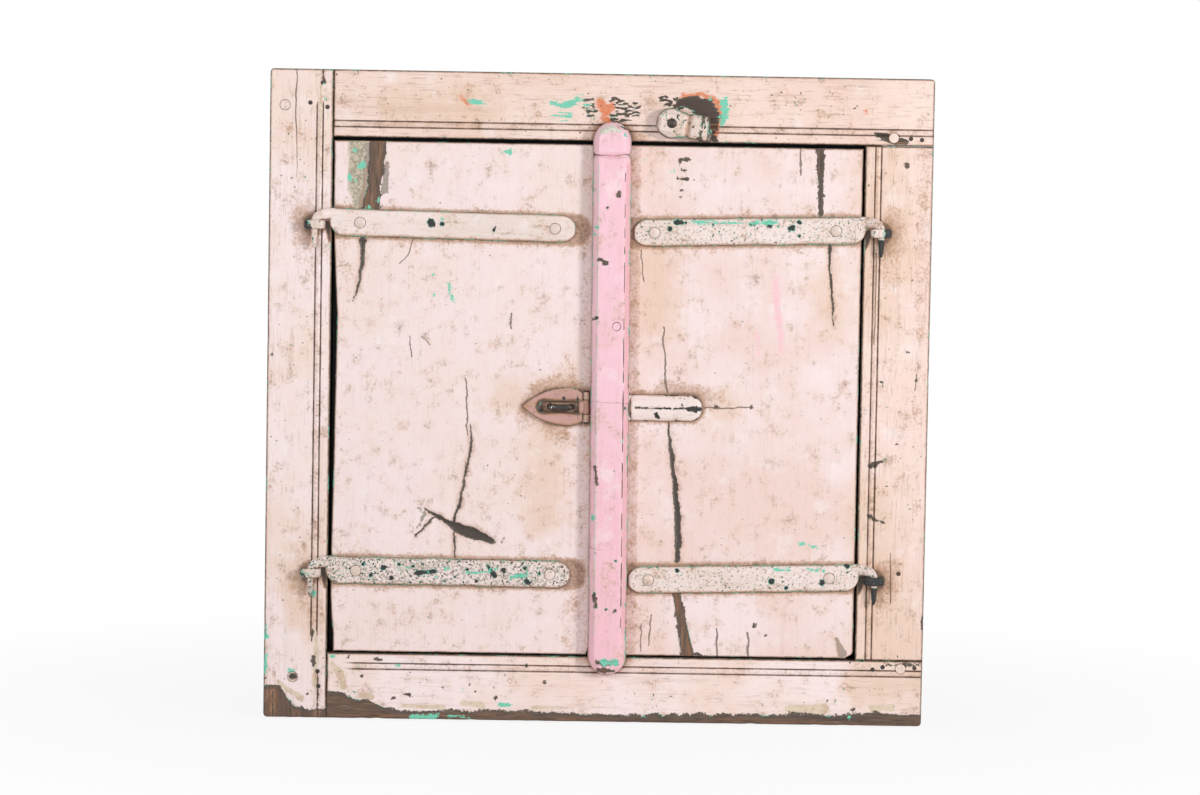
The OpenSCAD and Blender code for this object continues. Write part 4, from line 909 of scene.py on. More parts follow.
def bare_iron(name, painted_share=0.3):
    """Forged iron, dark and pitted by the hammer, with scraps of the old paint still on it."""
    paint = bpy.context.scene.shutter_paint
    material, tree, shader, place = new_material(name)
    pits, scraps = (
        add(tree, NOISE, {"Vector": place, "Scale": per_metre(size), "Detail": 3.0, "Roughness": 0.6})
        for size in (2.6, 6.0)
    )
    scrap_colour = coats(tree, paint.cream, (pits, 0.45, 0.55, 1.0, paint.under))
    from_share = 0.70 - 0.3 * painted_share
    left = add(tree, RANGE, {"Value": scraps, "From Min": from_share, "From Max": from_share + 0.04})
    colour = coats(
        tree, paint.iron,
        (pits, 0.35, 0.7, 1.0, linear("#5B4A3E")),
        (left, 0.0, 1.0, 1.0, scrap_colour),
    )
    bumpy = add(tree, MATH, (pits, left), operation="ADD")
    metal = add(tree, MATH, (left, -0.75, 0.75), operation="MULTIPLY_ADD")
    dull = add(tree, MATH, (pits, 0.3, 0.32), operation="MULTIPLY_ADD")
    finish(tree, shader, colour, bumpy, 0.4, Metallic=metal, Roughness=dull)
    return material


def bare_timber(name, pale, dark, grain):
    """Unpainted timber: long grain about 9 mm apart in two browns, fine dark pores, and grey patches of old
    damp."""
    material, tree, shader, place = new_material(name)
    stretched = add(tree, VECTOR, (place, grain), operation="MULTIPLY")
    figure, pores, damp = (
        add(tree, NOISE, {"Vector": where, "Scale": per_metre(size), "Detail": detail, "Roughness": harsh})
        for where, size, detail, harsh in (
            (stretched, 9.0, 3.0, 0.6), (stretched, 1.3, 2.0, 0.5), (place, 70.0, 4.0, 0.6)
        )
    )
    colour = coats(
        tree, linear(pale),
        (figure, 0.35, 0.65, 1.0, linear(dark)),
        (pores, 0.55, 0.75, 0.5, linear("#3E3026")),
        (damp, 0.5, 0.75, 0.5, linear("#6F675C")),
    )
    dull = add(tree, MATH, (pores, 0.2, 0.62), operation="MULTIPLY_ADD")
    finish(tree, shader, colour, pores, 0.3, Roughness=dull)
    return material


def silvered_glass():
    """Old mirror glass: silvering that reflects sharply, with grey foxing spots where damp got behind it,
    and a dark rim and dark lost silvering along the line between the leaves: tarnish, and painted shade that
    keeps the gaps dark."""
    material, tree, shader, place = new_material("Silvered mirror glass")
    damp, spots = (
        add(tree, NOISE, {"Vector": place, "Scale": per_metre(size), "Detail": detail, "Roughness": harsh})
        for size, detail, harsh in ((60.0, 4.0, 0.65), (5.0, 3.0, 0.6))
    )
    axes = add(tree, "ShaderNodeSeparateXYZ", (place,))
    low, high = box_mm("mirror_glass")
    inwards = 1000.0
    for axis, near, far in (("X", low[0], high[0]), ("Z", low[2], high[2])):
        middle, half = (near + far) / 2, (far - near) / 2
        across = add(tree, MATH, (axes.outputs[axis], 1000.0, -middle), operation="MULTIPLY_ADD")
        across = add(tree, MATH, (across,), operation="ABSOLUTE")
        inside = add(tree, MATH, (half, across), operation="SUBTRACT")
        inwards = add(tree, MATH, (inwards, inside), operation="MINIMUM")
    gap_at, gap_lean = 8.0, 6.1  # the gap stands so many mm left of the middle, and leans so many in a metre
    slant = add(tree, MATH, (axes.outputs["Z"], gap_lean, gap_at), operation="MULTIPLY_ADD")
    off_gap = add(tree, MATH, (axes.outputs["X"], 1000.0, slant), operation="MULTIPLY_ADD")
    from_gap = add(tree, MATH, (off_gap,), operation="ABSOLUTE")
    ragged = roughened(tree, inwards, (spots, 8.0), (damp, 12.0))
    rim = add(tree, RANGE, {"Value": ragged, "From Min": 30.0, "From Max": 18.0})
    ragged = roughened(tree, from_gap, (spots, 5.0), (damp, 6.0))
    line = add(tree, RANGE, {"Value": ragged, "From Min": 3.0, "From Max": 1.0, "To Max": 0.9})
    # Tarnish and painted shade: the silvering goes dark at the rim and behind the gap between the leaves
    tarnish_and_gap_shade = add(tree, MATH, (rim, line), operation="MAXIMUM")
    mottled = add(tree, MATH, (damp, spots), operation="ADD")
    foxed = add(tree, RANGE, {"Value": mottled, "From Min": 1.12, "From Max": 1.3})
    colour = coats(
        tree, linear("#E9EEED"),
        (foxed, 0.0, 1.0, 0.8, linear("#6E6A60")),
        (tarnish_and_gap_shade, 0.0, 1.0, 1.0, linear("#1E1B18")),
    )
    hazed = add(tree, MATH, (foxed, tarnish_and_gap_shade), operation="MAXIMUM")
    metal = add(tree, MATH, (tarnish_and_gap_shade, -1.0, 1.0), operation="MULTIPLY_ADD")
    dull = add(tree, MATH, (hazed, 0.4, 0.015), operation="MULTIPLY_ADD")
    finish(tree, shader, colour, 0.0, 0.0, Metallic=metal, Roughness=dull)
    return material


def zinc():
    """Zinc plate: pale grey metal with a faint crystal spangle about 3.5 mm across and dull handling
    marks."""
    material, tree, shader, place = new_material("Zinc plate")
    spangle = add(tree, "ShaderNodeTexVoronoi", {"Vector": place, "Scale": per_metre(3.5)}).outputs["Color"]
    marks = add(tree, NOISE, {"Vector": place, "Scale": per_metre(12.0), "Detail": 3.0, "Roughness": 0.5})
    colours = {0: spangle, 6: linear("#B9BEC0"), 7: linear("#9CA2A6")}
    colour = add(tree, MIX, colours, data_type="RGBA").outputs[2]
    dull = add(tree, MATH, (marks, 0.3, 0.25), operation="MULTIPLY_ADD")
    finish(tree, shader, colour, marks, 0.1, Roughness=dull)
    shader.inputs["Metallic"].default_value = 0.9
    return material


def dress(material, *nodes):
    """Gives CAD nodes, which keep their own shape, a finished material."""
    for name in nodes:
        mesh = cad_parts[name].data
        mesh.materials.clear()
        mesh.materials.append(material)


# Which way brush and grain run, as the stretch of a pattern along X, Y and Z
UP, ALONG, EVERY_WAY = (1.0, 1.0, 0.06), (0.06, 1.0, 1.0), (1.0, 1.0, 1.0)


# ---------- Operators, one for each group of pieces ----------


def bead_drop(distance, shape, with_bead=True):
    """Depth of the moulding at a distance from the opening: two grooves, each a parabola, and between them
    a round bead whose crown is a circle's arc."""
    band, bead, quirk, deep = shape.band / MM, shape.bead / MM, shape.quirk / MM, shape.quirk_depth / MM
    near, far = band + quirk / 2, band + quirk * 1.5 + bead
    cut = sum(deep * np.clip(1 - ((distance - c) / (quirk * 0.62)) ** 2, 0, 1) for c in (near, far))
    off = np.clip(np.abs(distance - band - quirk - bead / 2) / (bead / 2), 0, 1)
    crown = np.where(off < 1, bead / 2 * (1 - np.sqrt(1 - off**2)), 0) * 0.6
    return np.maximum(cut, crown) if with_bead else cut


class SHUTTER_OT_frame(bpy.types.Operator):
    """Stiles and rails: planed members with a bead, worn edges, cracks, and a foot rubbed bare"""

    bl_idname = "shutter.frame"
    bl_label = "Frame members"

    def execute(self, context):
        shape, paint = context.scene.shutter_shape, context.scene.shutter_paint
        stile_lo, stile_hi = box_mm("left_stile")
        top_lo, top_hi = box_mm("top_rail")
        foot_lo, foot_hi = box_mm("bottom_rail")
        open_l, open_r = stile_hi[0], box_mm("right_stile")[0][0]
        open_b, open_t = foot_hi[2], top_lo[2]
        rear, depth = stile_hi[1], stile_hi[1] - stile_lo[1]
        step, worn, wavy = shape.mesh_step / MM, shape.worn_edge / MM, shape.waviness / MM
        bead_end = (shape.band + 2 * shape.quirk + shape.bead) / MM + 1
        joint = 0.15  # each member stays this far from the next
        peg, corner_radius = 5.1, 4.0
        # Dirt round the staples, and round the cover strip's ends dirt that is also the strip's painted
        # shadow
        dirt = STAPLE_SPOTS + STRIP_DIRT_AND_SHADE

        def member(
            name, sides, ends, opening, side, outer, wear, tone, seed, run=(-999, 999, 3), cracks=(), **look
        ):
            """One member: a slab whose front has the bead at a distance from the opening, and hand-planed
            waves. side is the way in which it lies from the opening, outer is its side on the frame's
            outline, and run says where the bead starts and ends, and over what length it fades."""
            is_up = name.endswith("stile")
            band_from, band_to = sorted((opening + side * 8, opening + side * bead_end))
            across = positions(*sides, 2.0, [(band_from, band_to, 0.35)])
            along = positions(*ends, step)

            def fade(s):
                """1 where the bead runs, falling straight to 0 over the given length at each end."""
                return np.clip((s - run[0]) / run[2], 0, 1) * np.clip((run[1] - s) / run[2], 0, 1)

            def height(a, s, edge):
                """The member's thickness less its waves, the bead, the cracks' grooves and the worn edges."""
                x, z = (a, s) if is_up else (s, a)
                front = depth - WITHIN - wavy * (0.5 + 0.5 * waves(x, z, 75, seed))
                front = front - fade(s) * bead_drop(side * (a - opening), shape) - groove(x, z, cracks, 1.2)
                nibble = worn * (0.75 + 0.5 * waves(x, z, 22, seed + 1) ** 2)
                return front - quarter_round(edge, nibble)

            def rounding(s):
                """How far the frame's rounded corners cut in at a place along the member."""
                near = np.minimum(s - stile_lo[2], stile_hi[2] - s) if is_up else top_hi[0] - s
                return corner_radius - arched(near, corner_radius)

            def low_side(s):
                """Straight, but for the frame's rounded corners."""
                return sides[0] + (rounding(s) if outer < 0 else 0 * s)

            def high_side(s):
                """The same for the other side."""
                return sides[1] - (rounding(s) if outer > 0 else 0 * s)

            placing = upright if is_up else level
            points, values = slab(
                along, across, low_side, high_side, height, placing(rear), wear, bare_sides=True
            )
            a, s = (points[..., 0], points[..., 2]) if is_up else (points[..., 2], points[..., 0])
            away = side * (a - opening)
            # Depth of the bead's grooves, which the paint darkens as grime and painted shade; and a darker
            # band over the bead
            values["groove"] = fade(s) * bead_drop(away, shape, False)
            values["dirt"] = np.maximum(values["dirt"], 0.5 * fade(s) * bell(away - 13, 5.0))
            mesh = make_mesh(name, [(points, values)], FIELDS)
            usual = dict(
                grit=1.0, lined=1.5, chips=0.6, specks=1.9, outlined=1.2, wander=2.5,
                stains=("#E0703A", "#DD8F62"),
            )
            title = f"Old oil paint on {name.replace('_', ' ')}"
            grain = UP if is_up else ALONG
            look = {**usual, **look}
            material = painted(title, paint.rail, linear(tone), grain, cracks=cracks, seed=seed * 0.1, **look)
            piece(f"{name}_worn", mesh, material, "frame", [name])

        member(
            "left_stile", (stile_lo[0], open_l - joint), (stile_lo[2], stile_hi[2]), open_l, -1, -1,
            wear_fields(SIDE_CHIPS, SIDE_TEAL, dirt, foot=STILE_FOOT, old=STILE_OLD), "#FCEAE9", 3,
            run=(open_b + 15, open_t + 36, 3), cracks=STILE_CRACKS, hairs=STILE_HAIRS,
            rings=[(-315.5, 288.5, peg), (-301.5, -283.5, peg)], lined=1.2,
        )
        member(
            "right_stile", (open_r + joint, top_hi[0]), (open_b + joint, open_t - joint), open_r, 1, 0,
            wear_fields(RIGHT_STILE_SCARS, (), dirt), "#F8DCD3", 5, hairs=RIGHT_STILE_HAIRS,
        )
        member(
            "top_rail", (open_t + joint, top_hi[2]), (open_l + joint, top_hi[0]), open_t, 1, 1,
            wear_fields(
                BUTTON_ARC + BUTTON_SCRAPE + RAIL_SCARS, RAIL_TEAL, dirt, RAIL_ORANGE, fleck=RAIL_SCRATCHED
            ),
            "#F2D6C9", 7, rings=[(290.5, 265.5, peg)], dry=0.8, wood=linear("#4C3B33"),
        )
        member(
            "bottom_rail", (foot_lo[2], open_b - joint), (open_l + joint, foot_hi[0]), open_b, -1, -1,
            wear_fields(BOTTOM_FLECKS, FOOT_TEAL, dirt, foot=RAIL_FOOT, old=FOOT_OLD), "#FDECEB", 9,
            run=(open_l + 14, 999, 14), rings=[(308.5, -266.5, peg)], lined=1.1,
        )
        crack = [(-303, -284, 2), (-301, -283, 2.6)]
        peg_paint = painted("Painted peg", paint.rail, linear("#EBD3C6"), UP, cracks=[crack], seed=2.0)
        dress(peg_paint, "frame_pegs")
        dress(bare_iron("Painted-over nail", 0.2), "frame_nails")
        return {"FINISHED"}


class SHUTTER_OT_leaves(bpy.types.Operator):
    """Two plank leaves with cracks, a gash, and stripes of bare wood"""

    bl_idname = "shutter.leaves"
    bl_label = "Leaves"

    def execute(self, context):
        shape, paint = context.scene.shutter_shape, context.scene.shutter_paint
        step, worn, wavy = shape.mesh_step / MM, shape.worn_edge / MM, shape.waviness / MM
        left_lo, left_hi = box_mm("left_leaf_board")
        right_lo, right_hi = box_mm("right_leaf_board")
        rear, thick = left_hi[1], left_hi[1] - left_lo[1]
        open_l = box_mm("left_stile")[1][0]
        foot_paint, top_paint, edge_paint = 1.4, 0.8, 1.0  # the paint adds this at foot, top and hinge edge
        left_meets, right_meets = -5.6, -4.5  # X of the meeting edges at half height
        dirt = STRAP_LINES + HASP_LINE

        def leaf(body, sides, left, right, fields, tone, side, seed, rubbed, cracks, gashes, **look):
            """One leaf. Generations of paint have nearly closed its joints, so it reaches further than the
            bare board. Along the cover strip it gets as much dirt and painted shadow of the strip as rubbed
            says."""
            name = f"{body}_board"
            low, high = box_mm(name)
            along = positions(low[2] - foot_paint, high[2] + top_paint, step)

            def height(x, z, edge):
                """The board's thickness less its waves, the grooves of its cracks and the worn edges."""
                front = thick - WITHIN - wavy * (0.6 + 0.6 * waves(x, z, 95, seed))
                front = front - groove(x, z, cracks, 1.5) - groove(x, z, gashes, 2.0)
                nibble = worn * (0.8 + 0.6 * waves(x, z, 20, seed + 1) ** 2)
                return front - quarter_round(edge, nibble)

            points, values = slab(
                along, positions(*sides, 2.0), left, right, height, upright(rear), fields, bare_sides=True,
                taper=3.0,
            )
            # Painted shadow of the cover strip, with dirt: a flat band out to 13 mm beside it, laid into the
            # dirt field
            from_strip = (points[..., 0] - strip_middle(points[..., 2])) * side - STRIP_HALF
            values["dirt"] = np.maximum(values["dirt"], rubbed * np.clip((13 - from_strip) / 4, 0, 1))
            mesh = make_mesh(name, [(points, values)], FIELDS)
            material = painted(
                f"Old oil paint on {name.replace('_', ' ')}", paint.leaf, linear(tone), UP,
                cracks=cracks + gashes, seed=seed * 0.1, chips=0.4, lined=0.4, grit=0.55, outlined=0.9,
                old_tone="#9C9085", **look,
            )
            piece(f"{name}_worn", mesh, material, body, [name])

        hinge_z, hinge_gap = np.array(HINGE_GAP, float).T

        def hinge_edge(z):
            """The left stile's edge and the gap beside it, straight between its points."""
            return open_l + np.interp(z, hinge_z, hinge_gap)

        def left_meeting_edge(z):
            """A leaning line whose foot is rounded off by a parabola 13 mm high."""
            return left_meets - z * LEAN - np.clip((left_lo[2] + 13 - z) / 13, 0, 1) ** 2 * 3.2

        def right_meeting_edge(z):
            """The same leaning line beside it."""
            return right_meets - z * LEAN

        def right_edge(z):
            """Straight, with a worn corner at the foot: a parabola 5 mm high and 7 mm wide."""
            return right_hi[0] + edge_paint - np.clip((right_lo[2] + 5 - z) / 5, 0, 1) ** 2 * 7

        leaf(
            "left_leaf", (left_lo[0], -5.0), hinge_edge, left_meeting_edge,
            wear_fields(LEFT_STRIPE, LEFT_TEAL, dirt, LEFT_STAIN, old=LEFT_OLD), "#F7E2DD", -1, 11, 0.45,
            LEFT_CRACKS, LEFT_GASH, hairs=LEFT_HAIRS,
        )
        leaf(
            "right_leaf", (-4.0, right_hi[0]), right_meeting_edge, right_edge,
            wear_fields(
                RIGHT_STRIPE + RIGHT_PATCHES + BUTTON_TRAIL, RIGHT_TEAL, dirt, RIGHT_BLUSH, old=RIGHT_OLD
            ),
            "#F2D7D0", 1, 13, 0.6, RIGHT_CRACKS, [], hairs=RIGHT_HAIRS, stains=("#FAC6D0", "#F7D2D4"),
        )
        return {"FINISHED"}


class SHUTTER_OT_cover_strip(bpy.types.Operator):
    """The carved cover strip: arched ends, bevelled shoulders and a neck cut across it"""

    bl_idname = "shutter.cover_strip"
    bl_label = "Cover strip"

    def execute(self, context):
        paint = context.scene.shutter_paint
        low, high = box_mm("cover_strip")
        thick, foot, top = LEAF_FRONT - low[1], low[2], high[2]
        half, arris = STRIP_HALF, 13.3  # half its width, and where its bevels start
        neck, least = top - 33, 3
        spans = [(side * arris - 1, side * arris + 1, 0.3) for side in (-1, 1)]
        along = positions(foot, top, 1.6, [(foot, foot + 20, 0.7), (top - 42, top, 0.6)])
        across = positions(-half, half, 1.1, spans)

        def half_at(s):
            """Half its width: arched ends, less the pinch at the neck and a worn, slightly wavy edge."""
            end = np.minimum(s - foot, top - s)
            pinch = 2.0 * np.clip(1 - np.abs(s - neck) / 4.2, 0, 1)
            return np.maximum(arched(end, half) - pinch - 0.25 * (1 + waves(s, 0 * s, 40, 21)), 0)

        def height(x, s, _):
            """A flat face between bevels, which run round the arched ends; the neck is a V-shaped notch."""
            end = np.minimum(s - foot, top - s)
            radial = half - np.hypot(x - strip_middle(s), np.clip(half - end, 0, half))
            rim = np.clip(radial, 0, None)
            bevel = 7.0 * (1 - np.clip(rim / 6.0, 0, 1))
            body = thick - 0.05 - bevel - 0.45 * bell(rim - 6, 1.6)
            inwards, below = np.clip(14 - rim, 0, 8), np.clip(8 - (neck - s), 0, 8) * (s < neck)
            shoulder = 3.0 * np.clip((np.hypot(inwards, below) - inwards - 2.5) / 5.5, 0, 1)
            notch = 2.6 * np.clip(1 - np.abs(s - neck) / 3.6, 0, 1) + shoulder
            soft = np.maximum(0.22 * (1 + waves(x, s, 30, 23)), 0)
            return np.maximum(body - notch - soft - quarter_round(rim, 1.4), least)

        points, values = slab(
            along, across, lambda s: strip_middle(s) - half_at(s), lambda s: strip_middle(s) + half_at(s),
            height, upright(LEAF_FRONT), wear_fields(STRIP_WEAR, STRIP_TEAL, old=STRIP_OLD),
        )
        # The arrises are rubbed: a pale broken line on the left and a dark one on the right; the right bevel
        # gets a deeper pink as painted shade
        x, z = points[..., 0], points[..., 2]
        off = x - strip_middle(z)
        straight = (np.abs(z) < 235) & (np.abs(off) < 19)
        whole = 7 * waves(x, z, 26, 25)
        pale, dark = straight & (np.abs(off + arris) < 0.65), straight & (np.abs(off - arris) < 0.5)
        values["old"] = np.maximum(values["old"], np.where(pale, FAR + whole + 6, 0))
        values["bare"] = np.maximum(values["bare"], np.where(dark, FAR + whole + 2, 0))
        # Painted shade: the right bevel takes the deeper pink of the stain colours given below
        values["stain"] = np.where(straight & (off > arris + 0.5), FAR + 8, 0)
        values["dirt"] = np.maximum(values["dirt"], 0.5 * bell(z - neck, 1.6))
        material = painted(
            "Pink oil paint on the cover strip", paint.strip, linear("#FAC6D3"), UP, hairs=STRIP_HAIRS,
            rings=[(17.2, 74, 4.2)], seed=1.7, chips=0.5, gloss=0.38, teal_share=0.6, lined=0.4, grit=0.8,
            outlined=0.3, old_tone="#DBDCCD", stains=("#EFB9C0", "#EBB2B9"),
        )
        mesh = make_mesh("cover_strip", [(points, values)], FIELDS)
        piece("cover_strip_carved", mesh, material, "right_leaf", ["cover_strip"])
        dress(bare_iron("Filled nail", 0.9), "strip_nails")
        return {"FINISHED"}


class SHUTTER_OT_straps(bpy.types.Operator):
    """Strap hinges: hammered straps whose goosenecks turn down into pintles, rivets, and the staples they
    hang in"""

    bl_idname = "shutter.straps"
    bl_label = "Strap hinges"

    def execute(self, context):
        self.hinges(context.scene.shutter_paint, context.scene.shutter_shape.hammer / MM)
        self.staples(context.scene.shutter_paint)
        return {"FINISHED"}

    def hinges(self, paint, hammer):
        """Four straps, each a flat slab and a gooseneck swept along a curve, whose lengths u run from the
        pintle."""
        half, start = 14.25, 14.5  # half the strap's width, and where its flat part starts
        rivets = [
            (HINGE_X[hand] + side * u, STRAP_Z[row] - (u - start) * math.tan(math.radians(droop)), 5.4)
            for hand, row, side, end, droop, _ in HINGES
            for u in (45.0, end - 21)
        ]
        skin = painted(
            "Painted wrought strap", paint.cream, linear("#EEDDD5"), ALONG, base="iron", rings=rivets,
            seed=3.1, chips=0.5, gloss=0.4, teal_share=0.8, outlined=0.5, flake=2.1,
        )
        for number, (hand, row, side, end, droop, speck) in enumerate(HINGES):
            axis, mid, fall = HINGE_X[hand], STRAP_Z[row], math.tan(math.radians(droop))
            along = positions(start, end, 1.8, [(start, start + 14, 0.7), (end - 15, end, 0.6)])
            across = positions(-half, half, 1.3)

            def low_side(u):
                """The lower side: a quarter ellipse from the gooseneck, a straight run and a round end."""
                back = 1 - np.clip((u - start) / 13.0, 0, 1)
                worn = 18.0 * (1 - np.sqrt(1 - back**2))
                side_at = np.maximum(-half + worn, -arched(end - u, half))
                return side_at + 0.3 + 0.3 * waves(u, 0 * u, 30, number)

            def high_side(u):
                """The upper side: straight, with a round end and a slightly ragged edge."""
                ragged = 0.3 + 0.3 * waves(u, 0 * u, 34, number + 9)
                return np.maximum(arched(end - u, half) - ragged, low_side(u))

            def height(v, u, edge):
                """A slightly crowned face with large and small hammer marks, and rounded edges."""
                marks = hammer * (1 + 0.5 * waves(u, v, 16, number + 3) + 0.5 * waves(u, v, 6, number + 5))
                face = 4.0 - 0.9 * (v / half) ** 4 - marks
                return np.maximum(face - quarter_round(edge, 3.0), 0.8)

            def place(v, u, out):
                """Along the strap from its pintle, drooping, and out from the leaf."""
                return axis + side * u, LEAF_FRONT - out, mid + v - (u - start) * fall

            fields = wear_fields(STRAP_CHIPS, STRAP_TEAL, speck=speck)
            flat, values = slab(along, across, low_side, high_side, height, place, fields)
            near = np.clip(FAR - values["edge"], 0, FAR)
            down = mid - (side * (flat[..., 0] - axis) - start) * fall - flat[..., 2]
            # Dirt along the strap's edges, and painted shade darkening its lower side from 5 mm below its
            # middle line
            values["dirt"] = 0.75 * bell(near, 2.4) + 0.45 * np.clip((down - 5) / 9, 0, 1)

            stops, places = np.arange(len(GOOSENECK)), np.linspace(0, len(GOOSENECK) - 1, 60)
            wide, deep = np.array([point[3:] for point in GOOSENECK]).T
            tube = sweep(
                catmull([point[:3] for point in GOOSENECK], len(places)), np.interp(places, stops, wide),
                np.interp(places, stops, deep), np.array([0.0, 1.0, 0.0]), dent=0.03, seed=number,
            )
            neck = np.stack([axis + side * tube[..., 0], FRONT - tube[..., 1], mid + tube[..., 2]], axis=-1)
            low_end = np.clip((mid - neck[..., 2] - 6) / 6, 0, 1)
            even = np.ones(neck.shape[:2])
            scraped = FAR - 6 * even + (5 if side > 0 else 12) * low_end
            neck_fields = {"bare": scraped, "dirt": 0.45 * even, "speck": speck * even}
            name = f"{hand}_{row}_strap"
            mesh = make_mesh(name, [(flat, values), (neck, neck_fields)], FIELDS)
            piece(f"{name}_forged", mesh, skin, f"{hand}_leaf", [name])
        rivet = painted(
            "Painted rivet", paint.cream, linear("#DCC8BA"), UP, base="iron", seed=4.4, specks=3.0
        )
        dress(rivet, "left_rivets", "right_rivets")

    def staples(self, paint):
        """Four staples, each a flat bar bent round a pintle, with its legs in the stile."""
        iron = painted(
            "Paint left on forged staples", paint.cream, linear("#E6D4C8"), UP, base="iron", seed=8.3,
            gloss=0.38, teal_share=0.7,
        )
        count, tall = 64, 4.15
        stops, places = np.arange(len(STAPLE_BAR)), np.linspace(0, len(STAPLE_BAR) - 1, count)
        thick = np.interp(places, stops, [point[3] for point in STAPLE_BAR])
        path = catmull([point[:3] for point in STAPLE_BAR], count)
        for number, (hand, row, kept, slope) in enumerate(STAPLES):
            name, mid = f"{hand}_{row}_staple", STRAP_Z[row] - 2.5
            tube = sweep(
                path, thick, np.full(count, tall), np.array([0.0, 0.0, 1.0]), power=4.0, dent=0.02,
                seed=number + 30,
            )
            x, y, z = HINGE_X[hand] + tube[..., 0], FRONT - tube[..., 1], mid + tube[..., 2]
            points = np.stack([x, y, z], axis=-1)
            even = np.ones(points.shape[:2])
            bare = FAR - kept - slope * (x - HINGE_X[hand])
            fields = {"bare": bare, "speck": 0.5 * even, "dirt": 0.3 * even}
            mesh = make_mesh(name, [(points, fields)], FIELDS)
            piece(f"{name}_forged", mesh, iron, "frame", [name])


def plain_slab(along, across, thick, rounding, place):
    """A flat slab between two straight sides, with rounded edges and no wear of its own."""
    return slab(
        along, across, lambda s: across[0] + 0 * s, lambda s: across[-1] + 0 * s,
        lambda a, s, edge: thick - quarter_round(edge, rounding), place, wear_fields(),
    )


